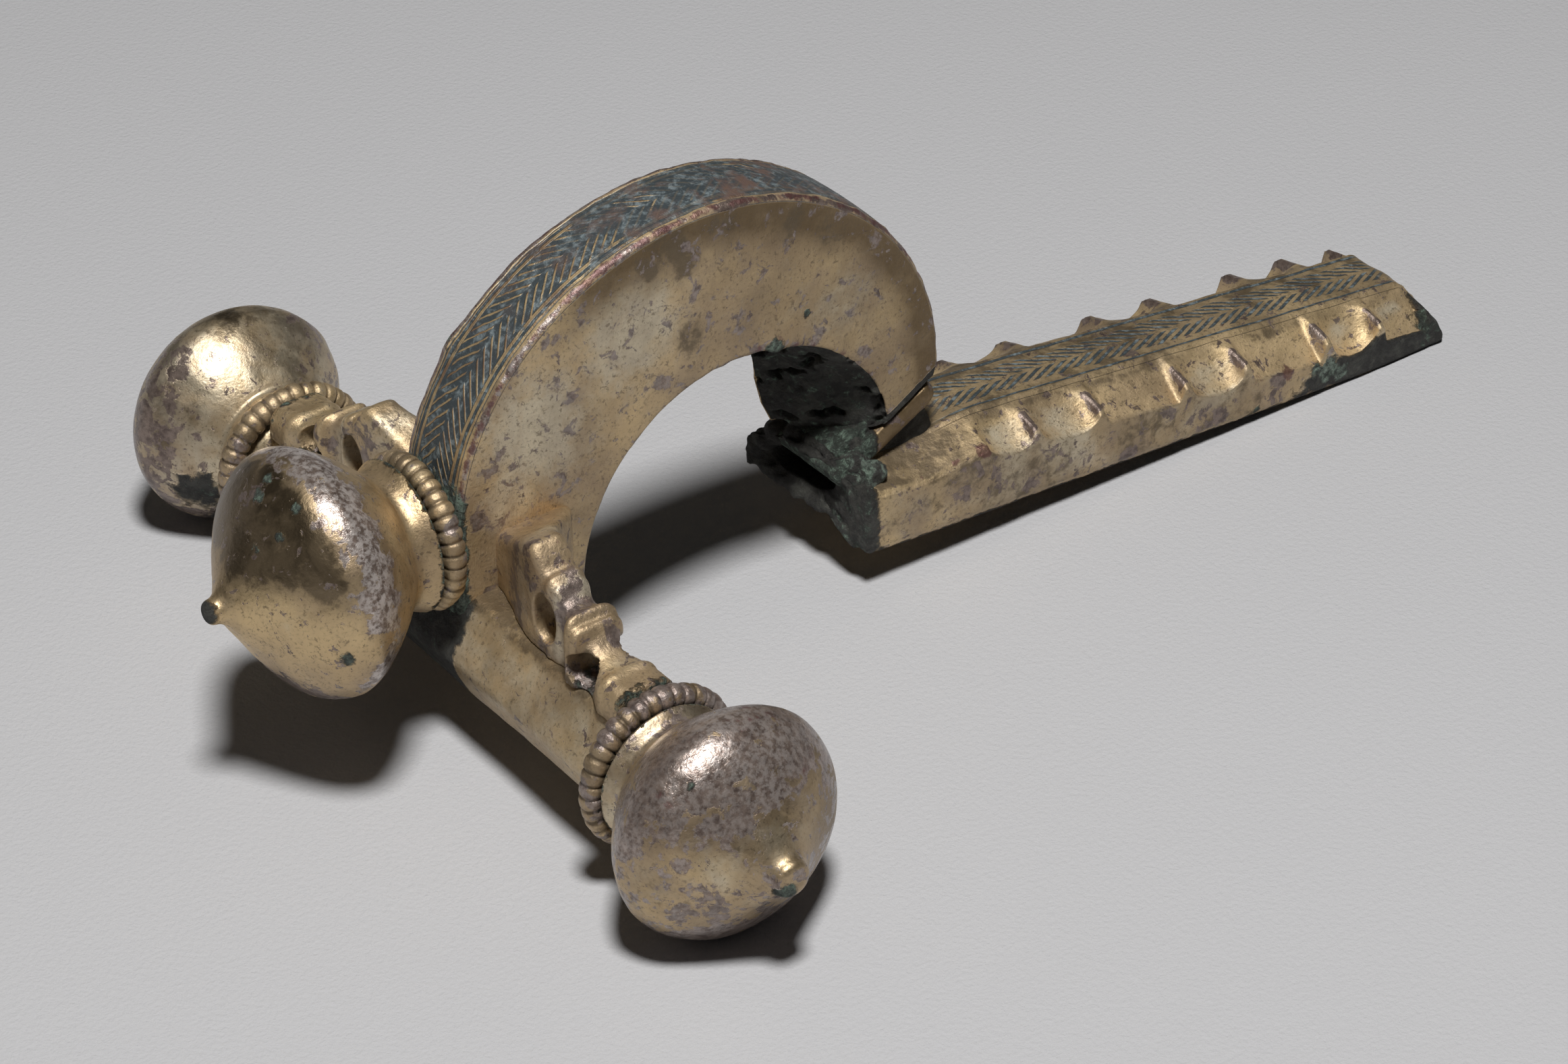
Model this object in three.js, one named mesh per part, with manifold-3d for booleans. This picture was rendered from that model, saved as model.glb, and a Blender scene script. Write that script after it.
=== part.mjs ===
// Late Roman crossbow brooch (onion-knob fibula), gilt copper alloy with niello, its pin lost.
// Millimetres, +Z up. The brooch lies as it does on a table: on its two side knobs and the foot's end.
// +X runs from the head knob to the end of the foot, and the side knobs lie on +Y and -Y.
// Everything is set out from the middle of the crossbar, at table height, and the whole group is then
// moved so that the origin is the bottom centre of the brooch's box.
import * as THREE from 'three';
import { mergeVertices } from 'three/addons/utils/BufferGeometryUtils.js';
import Module from 'manifold-3d';

const wasm = await Module();
wasm.setup();

// ---- driving dimensions -------------------------------------------------------------------------
const GAP = 0.3;                      // clearance kept between pieces that touch in the real brooch

const SIDE_KNOB_RADIUS = 6.7;         // greatest radius of the two side knobs
const HEAD_KNOB_RADIUS = 7.05;        // greatest radius of the head knob
const KNOB_FLAT = 0.06;               // depth of the worn flat that each side knob lies on
const SIDE_KNOB_EQUATOR = 23.8;       // distance of each side knob's widest ring from the middle
const HEAD_KNOB_EQUATOR = -9.6;       // x of the head knob's widest ring
const BAR_AXIS_HEIGHT = SIDE_KNOB_RADIUS - KNOB_FLAT;
const HEAD_AXIS_HEIGHT = 12.9;
const KNOB_TIP = 5.5 / 5.8;           // length of a knob before its widest ring, by its radius
const KNOB_SIDES = 30;

const SIDE_COLLAR_RADIUS = 4.9;       // outer radii of the beaded collars
const HEAD_COLLAR_RADIUS = 4.6;
const COLLAR_WIRE_RADIUS = 0.74;
const COLLAR_BEADS = 36;
const BEAD_DEPTH = 0.2;
const SIDE_COLLAR_Y = 17.95;
const HEAD_COLLAR_X = -3.1;

const BAR_HALF_LENGTH = SIDE_COLLAR_Y - COLLAR_WIRE_RADIUS - GAP;
const BAR_TOP_HALF_WIDTH = 1.4;       // the six-sided bar, measured from its axis
const BAR_SIDE_HALF_WIDTH = 3.3;
const BAR_BOTTOM_HALF_WIDTH = 2.0;
const BAR_TOP = 2.65;
const BAR_WAIST = -0.55;
const BAR_BOTTOM = -3.35;

const BOW_APEX = { x: 14.2, z: 27.9 };
const BOW_OUTER = { left: 16.2, leftRise: 14.4, right: 16.65, rightRise: 15.8 };
const ARCH_APEX = { x: 16.3, z: 17.8 };
const BOW_INNER = { left: 10.3, leftRise: 11.0, right: 5.3, rightRise: 6.0 };
const BOW_LOSS = { right: 10.8, rightRise: 8.9 };  // the chipped -Y corner of the foot-end leg
const BOW_HALF_WIDTH = 2.7;           // at the nielloed top face
const BOW_INNER_HALF_WIDTH = 2.9;     // at the underside of the arch
const BOW_STEPS = 30;
const LEG_BOTTOM = 5.6;               // the bow's head end stands behind the crossbar down to here

const CREST_START = 1.5;              // inside the bow
const CREST_BASE = BAR_AXIS_HEIGHT + BAR_TOP + GAP;
const CREST_STEPS = 44;

const FOOT_START = 23.5;              // on the middle line: the broken end runs askew
const FOOT_SKEW = -0.14;
const FOOT_END = 70.0;
const FOOT_HALF_WIDTH = 4.9;
const FOOT_REST_START = 64.0;         // from here to the end the underside is flat on the table
const FOOT_LIFT = 2.5;                // height of the wall's lower edge at the bow
const PANEL_HALF_WIDTH = 2.1;
const PANEL_Z = [8.6, 3.35];          // top of the foot at its start and at its end
const TEETH_Z = [7.5, 2.75];          // tips of the teeth along the foot's edges
const EDGE_Z = [7.2, 1.25];           // the side walls' top edge where flutes and facets meet it
const TEETH_X = [36.8, 41.7, 48.4, 53.2, 59.8, 64.2, 68.6];
const TOOTH_WIDTH = 0.75;

const NECK_TILT = THREE.MathUtils.degToRad(28);
const NECK = { x: 27.3, z: 8.3, halfLength: 3.2, halfWidth: 2.0 };
const BAND = { halfLength: 4.1, halfWidth: 2.9, thickness: 1.1 };

// ---- finishes -----------------------------------------------------------------------------------
const finish = (color, roughness, metalness = 1) =>
  new THREE.MeshStandardMaterial({ color, roughness, metalness });

// ---- geometry helpers ---------------------------------------------------------------------------
const lerp = THREE.MathUtils.lerp;
const smooth = (value, from, to) => THREE.MathUtils.smoothstep(value, from, to);

// A closed skin over a row of rings with equally many points, with a flat fan over each end.
function loft(rings) {
  const count = rings[0].length;
  const positions = [];
  const index = [];
  const push = (p) => positions.push(p.x, p.y, p.z);
  const middle = (ring) =>
    ring.reduce((sum, p) => sum.add(p), new THREE.Vector3()).divideScalar(ring.length);
  rings.flat().forEach(push);
  for (let i = 0; i < rings.length - 1; i += 1) {
    for (let j = 0; j < count; j += 1) {
      const a = i * count + j;
      const b = i * count + (j + 1) % count;
      index.push(a, b, b + count, a, b + count, a + count);
    }
  }
  const last = (rings.length - 1) * count;
  const startMiddle = rings.length * count;
  push(middle(rings[0]));
  push(middle(rings[rings.length - 1]));
  for (let j = 0; j < count; j += 1) {
    const next = (j + 1) % count;
    index.push(startMiddle, next, j);
    index.push(startMiddle + 1, last + j, last + next);
  }
  const geometry = new THREE.BufferGeometry();
  geometry.setAttribute('position', new THREE.Float32BufferAttribute(positions, 3));
  geometry.setIndex(index);
  return volumeOf(geometry) < 0 ? turnedInsideOut(geometry) : geometry;
}

function volumeOf(geometry) {
  const position = geometry.attributes.position;
  const [a, b, c] = [new THREE.Vector3(), new THREE.Vector3(), new THREE.Vector3()];
  let sum = 0;
  for (let i = 0; i < geometry.index.count; i += 3) {
    a.fromBufferAttribute(position, geometry.index.getX(i));
    b.fromBufferAttribute(position, geometry.index.getX(i + 1));
    c.fromBufferAttribute(position, geometry.index.getX(i + 2));
    sum += a.dot(b.cross(c)) / 6;
  }
  return sum;
}

function turnedInsideOut(geometry) {
  const index = geometry.index.array;
  for (let i = 0; i < index.length; i += 3) {
    [index[i + 1], index[i + 2]] = [index[i + 2], index[i + 1]];
  }
  return geometry;
}

function solid(geometry) {
  const bare = geometry.clone();
  bare.deleteAttribute('normal');
  bare.deleteAttribute('uv');
  const merged = mergeVertices(bare, 1e-4);
  return new wasm.Manifold(new wasm.Mesh({
    numProp: 3,
    vertProperties: new Float32Array(merged.attributes.position.array),
    triVerts: new Uint32Array(merged.index.array),
  }));
}

function geometryOf(manifold) {
  const mesh = manifold.getMesh();
  const geometry = new THREE.BufferGeometry();
  geometry.setAttribute('position', new THREE.Float32BufferAttribute(mesh.vertProperties, 3));
  geometry.setIndex(Array.from(mesh.triVerts));
  geometry.computeVertexNormals();
  return geometry;
}

// A box given by its lowest and highest corners.
function block(low, high) {
  const geometry = new THREE.BoxGeometry(high[0] - low[0], high[1] - low[1], high[2] - low[2]);
  geometry.translate((low[0] + high[0]) / 2, (low[1] + high[1]) / 2, (low[2] + high[2]) / 2);
  return solid(geometry);
}

// ---- knobs and collars --------------------------------------------------------------------------
// Onion knob turned about +Y, its neck at y < 0 and its widest ring at y = 0. All lengths follow the
// radius. The neck's inner end is as far from the widest ring as neckLength says.
function knobGeometry(radius, neckLength) {
  const unit = radius / 5.8;
  const at = (r, y) => new THREE.Vector2(r * unit, y * unit);
  const neckEnd = -neckLength / unit;
  const back = new THREE.CubicBezierCurve(at(3.35, -3.2), at(3.9, -2.9), at(5.6, -1.1), at(5.8, 0));
  const front = new THREE.CubicBezierCurve(at(5.8, 0), at(5.8, 2.0), at(3.45, 2.95), at(1.0, 4.85));
  const profile = [
    at(0, neckEnd),
    at(2.4, neckEnd),
    at(2.4, neckEnd + 1.5),
    at(3.45, neckEnd + 1.6),
    at(3.55, neckEnd + 1.85),
    at(3.3, neckEnd + 2.2),
    ...back.getPoints(7),
    ...front.getPoints(9).slice(1),
    at(0.85, 5.3),
    at(0.55, 5.45),
    at(0, 5.5),
  ];
  return new THREE.LatheGeometry(profile, KNOB_SIDES);
}

// Ring of beaded wire about the Y axis: the wire swells and narrows once for every bead.
function collarGeometry(outerRadius) {
  const stepsPerBead = 2;
  const wireSides = 6;
  const steps = COLLAR_BEADS * stepsPerBead;
  const ringRadius = outerRadius - COLLAR_WIRE_RADIUS;
  const positions = [];
  const index = [];
  for (let i = 0; i < steps; i += 1) {
    const around = (i / steps) * Math.PI * 2;
    const wire = COLLAR_WIRE_RADIUS - (i % stepsPerBead === 0 ? BEAD_DEPTH : 0);
    for (let j = 0; j < wireSides; j += 1) {
      const turn = (j / wireSides) * Math.PI * 2;
      const radius = ringRadius + wire * Math.cos(turn);
      positions.push(radius * Math.cos(around), wire * Math.sin(turn), radius * Math.sin(around));
      const a = i * wireSides + j;
      const b = i * wireSides + (j + 1) % wireSides;
      const c = ((i + 1) % steps) * wireSides + j;
      const d = ((i + 1) % steps) * wireSides + (j + 1) % wireSides;
      index.push(a, b, d, a, d, c);
    }
  }
  const geometry = new THREE.BufferGeometry();
  geometry.setAttribute('position', new THREE.Float32BufferAttribute(positions, 3));
  geometry.setIndex(index);
  return volumeOf(geometry) < 0 ? turnedInsideOut(geometry) : geometry;
}

// ---- crossbar -----------------------------------------------------------------------------------
function barSection(grow = 0) {
  const slope = 1 + grow / BAR_TOP_HALF_WIDTH * 0.6;
  return [
    [BAR_TOP_HALF_WIDTH * slope, BAR_TOP + grow],
    [BAR_SIDE_HALF_WIDTH + grow * 1.15, BAR_WAIST],
    [BAR_BOTTOM_HALF_WIDTH + grow * 0.6, BAR_BOTTOM - grow],
  ];
}

function barSolid(halfLength, grow = 0) {
  const half = barSection(grow);
  const outline = [...half, ...half.map(([x, z]) => [-x, z]).reverse()];
  const ring = (y) => outline.map(([x, z]) => new THREE.Vector3(x, y, BAR_AXIS_HEIGHT + z));
  return solid(loft([ring(-halfLength), ring(halfLength)]));
}

// ---- bow ----------------------------------------------------------------------------------------
// Points of the arch's outer and inner edge at an angle from PI, at the head, to 0, at the foot.
function bowOuter(angle) {
  const left = angle > Math.PI / 2;
  const reach = left ? BOW_OUTER.left : BOW_OUTER.right;
  const rise = left ? BOW_OUTER.leftRise : BOW_OUTER.rightRise;
  return [BOW_APEX.x + reach * Math.cos(angle), BOW_APEX.z - rise * (1 - Math.sin(angle))];
}

function bowInner(angle, right = BOW_INNER.right, rightRise = BOW_INNER.rightRise) {
  const left = angle > Math.PI / 2;
  const reach = left ? BOW_INNER.left : right;
  const rise = left ? BOW_INNER.leftRise : rightRise;
  return [ARCH_APEX.x + reach * Math.cos(angle), ARCH_APEX.z - rise * (1 - Math.sin(angle))];
}

// Section of the bow between an outer point and the two lower corners, on the +Y and the -Y side.
function bowSection(outer, inner, innerRight = inner) {
  const bevel = 0.3;
  const crown = 0.15;
  const top = BOW_HALF_WIDTH;
  const under = BOW_INNER_HALF_WIDTH;
  const side = (sign, corner) => {
    const depth = Math.hypot(outer[0] - corner[0], outer[1] - corner[1]);
    const place = (y, down) => new THREE.Vector3(
      lerp(outer[0], corner[0], down / depth), sign * y, lerp(outer[1], corner[1], down / depth));
    return [
      place(top - bevel, 0),
      place(top, bevel),
      place(under, depth - bevel),
      place(under - bevel, depth),
    ];
  };
  const middle = side(1, inner)[0].clone();
  const away = Math.hypot(outer[0] - inner[0], outer[1] - inner[1]);
  middle.set(
    outer[0] + crown * (outer[0] - inner[0]) / away, 0, outer[1] + crown * (outer[1] - inner[1]) / away);
  return [middle, ...side(1, inner), ...side(-1, innerRight).reverse()];
}

function bowSolid() {
  const rings = [];
  const legInner = bowInner(Math.PI)[0];
  const legOuter = bowOuter(Math.PI)[0];
  rings.push(bowSection([legOuter, LEG_BOTTOM], [legInner, LEG_BOTTOM]));
  for (let i = 0; i <= BOW_STEPS; i += 1) {
    const angle = Math.PI * (1 - i / BOW_STEPS);
    const chipped = bowInner(angle, BOW_LOSS.right, BOW_LOSS.rightRise);
    rings.push(bowSection(bowOuter(angle), bowInner(angle), chipped));
  }
  const [endX, endZ] = bowOuter(0);
  rings.push(bowSection([endX - 0.3, endZ - 1.1], [22.1, 9.9], [27.3, 8.6]));
  rings.push(bowSection([endX - 1.0, endZ - 2.2], [22.8, 8.2], [27.4, 8.3]));
  return solid(loft(rings));
}

// ---- crests on the crossbar ---------------------------------------------------------------------
const rib = (y, centre, width, height) =>
  height * Math.max(0, Math.cos(THREE.MathUtils.clamp((y - centre) / width, -1, 1) * Math.PI / 2));

// Ribs cast across the crest: where each stands, how wide and how high it is.
const CREST_RIBS = [[9.6, 0.55, 0.35], [12.3, 0.4, 0.4], [13.1, 0.35, 0.35], [15.2, 0.35, 0.3]];
const ribs = (y) => CREST_RIBS.reduce((sum, [at, width, height]) => sum + rib(y, at, width, height), 0);

// Height of the crest's top over the table, falling from the bow to the collar.
function crestTop(y) {
  const fall = 16.4 - 2.1 * smooth(y, 5.5, 9.5) - 3.2 * smooth(y, 8.8, 14.8);
  return fall + ribs(y);
}

function crestSection(y) {
  const shoulder = 1 - smooth(y, 2.7, 7.4);
  const halfWidth = 1.1 + 1.0 * smooth(y, 10.5, 16) + 0.6 * ribs(y);
  const middle = 1.9 * shoulder;
  const front = middle - halfWidth - 2.0 * shoulder;
  const back = middle + halfWidth + 1.6 * shoulder;
  const top = crestTop(y);
  const round = 0.6 + 0.5 * smooth(y, 10, 16);
  const at = (x, z) => new THREE.Vector3(x, y, z);
  return [
    at(front, CREST_BASE),
    at(front, top - round),
    at(front + round * 0.75, top - round * 0.2),
    at(middle, top),
    at(back - round * 0.75, top - round * 0.2),
    at(back, top - round),
    at(back, CREST_BASE),
  ];
}

// One crest on the +Y side, with its two openings.
function crestSolid() {
  const end = BAR_HALF_LENGTH;
  const rings = [];
  for (let i = 0; i <= CREST_STEPS; i += 1) {
    rings.push(crestSection(lerp(CREST_START, end, i / CREST_STEPS)));
  }
  return solid(loft(rings))
    .subtract(crestOpening(9.5, 11.8, 0.95, 1.3))
    .subtract(crestOpening(13.3, 10.05, 1.1, 0.9));
}

// An oval hole along X through a crest.
function crestOpening(y, z, halfWidth, halfHeight) {
  const tool = new THREE.CylinderGeometry(1, 1, 12, 16);
  tool.rotateZ(Math.PI / 2);
  tool.scale(1, halfWidth, halfHeight);
  tool.translate(0, y, z);
  return solid(tool);
}

// ---- foot ---------------------------------------------------------------------------------------
const alongFoot = (x) => (x - FOOT_START) / (FOOT_END - FOOT_START);
const panelZ = (x) => lerp(PANEL_Z[0], PANEL_Z[1], alongFoot(x));
const teethZ = (x) => lerp(TEETH_Z[0], TEETH_Z[1], alongFoot(x));
const edgeZ = (x) => lerp(EDGE_Z[0], EDGE_Z[1], alongFoot(x));
const soleZ = (x) =>
  Math.max(0, FOOT_LIFT * (FOOT_REST_START - x) / (FOOT_REST_START - FOOT_START));

function footSection(x, drop = 0, skew = 0) {
  const at = (y, z) => new THREE.Vector3(x + skew * y, y, z);
  const half = [
    [FOOT_HALF_WIDTH - 0.25, soleZ(x)],
    [FOOT_HALF_WIDTH, soleZ(x) + 0.3],
    [FOOT_HALF_WIDTH, teethZ(x) - drop],
    [PANEL_HALF_WIDTH, panelZ(x) - drop],
  ];
  const left = half.map(([y, z]) => at(y, z));
  const right = half.map(([y, z]) => at(-y, z)).reverse();
  return [...left, ...right];
}

function footBlank() {
  const neckDrop = 1.0;
  const rings = [
    footSection(FOOT_START, neckDrop, FOOT_SKEW),
    footSection(30.4, neckDrop),
    footSection(33.6),
    footSection(FOOT_REST_START),
    footSection(FOOT_END - 2.0),
    footSection(FOOT_END, 1.7),
  ];
  return solid(loft(rings));
}

// A scooped flute in the foot's edge on the +Y side, between two teeth: part of an egg shape.
function flute(from, to) {
  const x = (from + to) / 2;
  const run = FOOT_HALF_WIDTH - PANEL_HALF_WIDTH;
  const slope = Math.atan2(panelZ(x) - teethZ(x), run);
  const depth = (teethZ(x) - edgeZ(x)) * Math.cos(slope) + 0.15;
  const tool = new THREE.SphereGeometry(1, 16, 10);
  tool.rotateX(Math.PI / 2);
  tool.scale((to - from - TOOTH_WIDTH) / 2, run / Math.cos(slope) - 0.15, depth);
  tool.rotateX(-slope);
  tool.translate(x, FOOT_HALF_WIDTH, teethZ(x));
  return solid(tool);
}

// A flat facet in the foot's edge on the +Y side, from the panel down to the wall's top edge.
function facet(from, to) {
  const ring = (x) => [
    new THREE.Vector3(x, PANEL_HALF_WIDTH + 0.25, panelZ(x)),
    new THREE.Vector3(x, FOOT_HALF_WIDTH + 0.6, lerp(panelZ(x), edgeZ(x), 1.25)),
    new THREE.Vector3(x, FOOT_HALF_WIDTH + 0.6, panelZ(x) + 1),
    new THREE.Vector3(x, PANEL_HALF_WIDTH + 0.25, panelZ(x) + 1),
  ];
  return solid(loft([ring(from + TOOTH_WIDTH / 2), ring(to - TOOTH_WIDTH / 2)]));
}

function mirroredPair(manifold) {
  return manifold.add(manifold.mirror([0, 1, 0]));
}

function edgeCuts() {
  let tools = facet(31.5, TEETH_X[0] - 3.2).add(flute(TEETH_X[0] - 3.9, TEETH_X[0]));
  for (let i = 0; i < TEETH_X.length - 1; i += 1) {
    const cut = i % 2 === 1 ? facet : flute;
    tools = tools.add(cut(TEETH_X[i], TEETH_X[i + 1]));
  }
  return mirroredPair(tools);
}

// The sheath for the lost pin: a flat tunnel from the broken end at the bow, deep into the foot.
function pinSheath() {
  const sides = 12;
  const ring = (x) => {
    const middle = lerp(6.0, 2.2, alongFoot(x));
    const high = lerp(1.2, 0.8, alongFoot(x));
    const points = [];
    for (let i = 0; i < sides; i += 1) {
      const turn = (i / sides) * Math.PI * 2;
      points.push(new THREE.Vector3(x, 0.8 + 2.7 * Math.cos(turn), middle + high * Math.sin(turn)));
    }
    return points;
  };
  return solid(loft([ring(FOOT_START - 2), ring(56)]));
}

// The shallow channel along the underside, between the two side walls.
function soleChannel() {
  const ring = (x, height) => [
    new THREE.Vector3(x, -3.6, -1),
    new THREE.Vector3(x, -3.2, soleZ(x) + height),
    new THREE.Vector3(x, 3.7, soleZ(x) + height * 0.6),
    new THREE.Vector3(x, 4.0, -1),
  ];
  return solid(loft([ring(FOOT_START - 2, 1.5), ring(FOOT_REST_START - 4, 0.4)]));
}

// What has broken away from the +Y wall's lower edge at the foot's open end.
function lostCorner() {
  const ring = (x, height) => [
    new THREE.Vector3(x, 3.0, -1),
    new THREE.Vector3(x, 3.0, soleZ(x) + height - 0.2),
    new THREE.Vector3(x, 5.6, soleZ(x) + height),
    new THREE.Vector3(x, 5.6, -1),
  ];
  return solid(loft([ring(FOOT_START - 3, 2.4), ring(FOOT_START + 1.2, 1.9), ring(FOOT_START + 4.5, -0.1)]));
}

function footSolid() {
  return footBlank()
    .subtract(edgeCuts())
    .subtract(pinSheath())
    .subtract(soleChannel())
    .subtract(lostCorner());
}

// ---- neck between bow and foot, and its band ----------------------------------------------------
// An upright block with rounded corners, tilted like the bow's cut end.
function neckBlock(halfLength, halfWidth, low, high) {
  const corner = 0.8;
  const shape = new THREE.Shape();
  shape.moveTo(-halfLength, -halfWidth);
  shape.lineTo(halfLength - corner, -halfWidth);
  shape.quadraticCurveTo(halfLength, -halfWidth, halfLength, -halfWidth + corner);
  shape.lineTo(halfLength, halfWidth - corner);
  shape.quadraticCurveTo(halfLength, halfWidth, halfLength - corner, halfWidth);
  shape.lineTo(-halfLength, halfWidth);
  shape.closePath();
  const geometry = new THREE.ExtrudeGeometry(shape, {
    depth: high - low, bevelEnabled: false, curveSegments: 5,
  });
  geometry.translate(0, 0, low);
  geometry.rotateY(-NECK_TILT);
  geometry.translate(NECK.x, 0, NECK.z);
  return solid(geometry);
}

// The space cleared for the band, and the band itself, a strap round three sides of the neck.
function bandSpace() {
  const high = BAND.thickness / 2 + GAP;
  const ring = neckBlock(BAND.halfLength + 3, BAND.halfWidth + 3, -high, high);
  return ring.subtract(neckBlock(NECK.halfLength, NECK.halfWidth, -2, 2));
}

function bandSolid() {
  const half = BAND.thickness / 2;
  const outer = neckBlock(BAND.halfLength, BAND.halfWidth, -half, half);
  const inner = neckBlock(NECK.halfLength + GAP, NECK.halfWidth + GAP, -2, 2);
  const open = block([NECK.x - 9, -6, 0], [NECK.x - NECK.halfLength + 0.4, 6, 16]);
  return outer.subtract(inner).subtract(open);
}

// ---- assembly -----------------------------------------------------------------------------------
function bowAndFoot() {
  const crests = mirroredPair(crestSolid());
  const head = bowSolid().add(crests).subtract(barSolid(BAR_HALF_LENGTH + 2, GAP));
  const neck = neckBlock(NECK.halfLength, NECK.halfWidth, -3.4, 1.8);
  return head.add(footSolid()).subtract(bandSpace()).add(neck);
}

const pieces = new THREE.Group();

function addPiece(name, geometry, material) {
  const mesh = new THREE.Mesh(geometry, material);
  mesh.name = name;
  pieces.add(mesh);
  return mesh;
}

const gilt = finish(0xa98a54, 0.38);
const wornGilt = finish(0x8d7550, 0.45);
const bareBronze = finish(0x5d5348, 0.6);

addPiece('bow_and_foot', geometryOf(bowAndFoot()), gilt);
addPiece('crossbar', geometryOf(barSolid(BAR_HALF_LENGTH)), gilt);
addPiece('junction_band', geometryOf(bandSolid()), bareBronze);

const underTable = block([-40, -40, -10], [90, 40, 0]);
const sideNeck = SIDE_KNOB_EQUATOR - SIDE_COLLAR_Y + COLLAR_WIRE_RADIUS;
for (const [name, side] of [['left', 1], ['right', -1]]) {
  const knob = knobGeometry(SIDE_KNOB_RADIUS, sideNeck);
  knob.rotateY(Math.PI / KNOB_SIDES);
  knob.rotateZ(side > 0 ? 0 : Math.PI);
  knob.translate(0, side * SIDE_KNOB_EQUATOR, BAR_AXIS_HEIGHT);
  addPiece(`${name}_knob`, geometryOf(solid(knob).subtract(underTable)), wornGilt);
  const collar = addPiece(`${name}_collar`, collarGeometry(SIDE_COLLAR_RADIUS), wornGilt);
  collar.position.set(0, side * SIDE_COLLAR_Y, BAR_AXIS_HEIGHT);
}

const headNeck = HEAD_COLLAR_X + COLLAR_WIRE_RADIUS - HEAD_KNOB_EQUATOR;
const headKnob = addPiece('head_knob', knobGeometry(HEAD_KNOB_RADIUS, headNeck), gilt);
headKnob.rotation.z = Math.PI / 2;
headKnob.position.set(HEAD_KNOB_EQUATOR, 0, HEAD_AXIS_HEIGHT);
const headCollar = addPiece('head_collar', collarGeometry(HEAD_COLLAR_RADIUS), wornGilt);
headCollar.rotation.z = Math.PI / 2;
headCollar.position.set(HEAD_COLLAR_X, 0, HEAD_AXIS_HEIGHT);

const headTip = HEAD_KNOB_EQUATOR - KNOB_TIP * HEAD_KNOB_RADIUS;
pieces.position.x = -(headTip + FOOT_END) / 2;

const brooch = new THREE.Group();
brooch.add(pieces);

export default brooch;
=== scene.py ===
"""Late Roman crossbow brooch: gilt copper alloy with niello, worn and corroded, lying on pale paper.

Shapes are set out in millimetres from the middle of the crossbar, +X towards the foot's end, and are
moved by SHIFT into the row frame, in metres, when a mesh is made.
"""
import math

import bpy
import numpy as np
from mathutils import Matrix, Vector


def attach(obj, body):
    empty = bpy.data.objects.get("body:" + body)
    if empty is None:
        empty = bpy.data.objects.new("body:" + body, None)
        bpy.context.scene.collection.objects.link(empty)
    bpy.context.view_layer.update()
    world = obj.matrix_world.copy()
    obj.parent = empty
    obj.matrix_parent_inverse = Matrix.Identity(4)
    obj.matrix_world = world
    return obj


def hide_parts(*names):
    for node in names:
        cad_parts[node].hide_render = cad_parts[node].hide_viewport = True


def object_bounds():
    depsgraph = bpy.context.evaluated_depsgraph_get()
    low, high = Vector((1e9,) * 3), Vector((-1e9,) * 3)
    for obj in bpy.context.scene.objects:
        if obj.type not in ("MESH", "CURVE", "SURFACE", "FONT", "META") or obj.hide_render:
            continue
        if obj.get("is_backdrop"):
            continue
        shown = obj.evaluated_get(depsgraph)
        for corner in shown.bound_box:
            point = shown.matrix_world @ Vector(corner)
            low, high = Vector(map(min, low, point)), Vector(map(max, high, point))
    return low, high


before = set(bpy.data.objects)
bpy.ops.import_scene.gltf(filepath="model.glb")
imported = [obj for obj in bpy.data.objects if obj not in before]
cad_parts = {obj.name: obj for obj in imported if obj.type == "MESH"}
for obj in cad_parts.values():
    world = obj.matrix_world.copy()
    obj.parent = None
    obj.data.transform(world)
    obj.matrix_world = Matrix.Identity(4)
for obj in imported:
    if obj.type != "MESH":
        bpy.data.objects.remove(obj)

CAD_LOW, CAD_HIGH = (list(corner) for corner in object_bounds())
SHIFT = -26.857  # x of the crossbar's middle in the row frame

# ---- dimensions, as in the solids ---------------------------------------------------------------
SIDE_KNOB_RADIUS, HEAD_KNOB_RADIUS = 6.7, 7.05
SIDE_EQUATOR, HEAD_EQUATOR = 23.8, -9.6
BAR_Z, HEAD_Z = 6.64, 12.9
COLLAR_WIRE = 0.74
SIDE_COLLAR, SIDE_COLLAR_Y = 4.9, 17.95
HEAD_COLLAR, HEAD_COLLAR_X = 4.6, -3.1
BAR_HALF = SIDE_COLLAR_Y - COLLAR_WIRE - 0.1
KNOB_TIP = 5.5
CREST_BASE = BAR_Z + 2.65

APEX, OUTER = (14.2, 27.9), (16.2, 14.4, 16.65, 15.8)
ARCH, INNER, LOSS = (16.3, 17.8), (10.3, 11.0, 5.3, 6.0), (10.8, 8.9)
BOW_HALF, BOW_UNDER, LEG_BOTTOM = 2.7, 2.9, 5.6

FOOT_X0, FOOT_X1, FOOT_SKEW, FOOT_HALF = 23.5, 70.0, -0.14, 4.9
REST_X, LIFT, PANEL_HALF = 64.0, 2.5, 2.1
PANEL_Z, TEETH_Z, EDGE_Z = (8.6, 3.35), (7.5, 2.75), (7.2, 1.25)
TEETH = [36.8, 41.7, 48.4, 53.2, 59.8, 64.2, 68.6]
NECK_TILT, NECK_X, NECK_Z = math.radians(28), 27.3, 8.3


# ---- numbers ------------------------------------------------------------------------------------
def lerp(a, b, t):
    return a + (b - a) * t


def smooth(x, a, b):
    t = np.clip((np.asarray(x, float) - a) / (b - a), 0, 1)
    return t * t * (3 - 2 * t)


PERM = np.random.RandomState(7).permutation(256)


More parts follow.
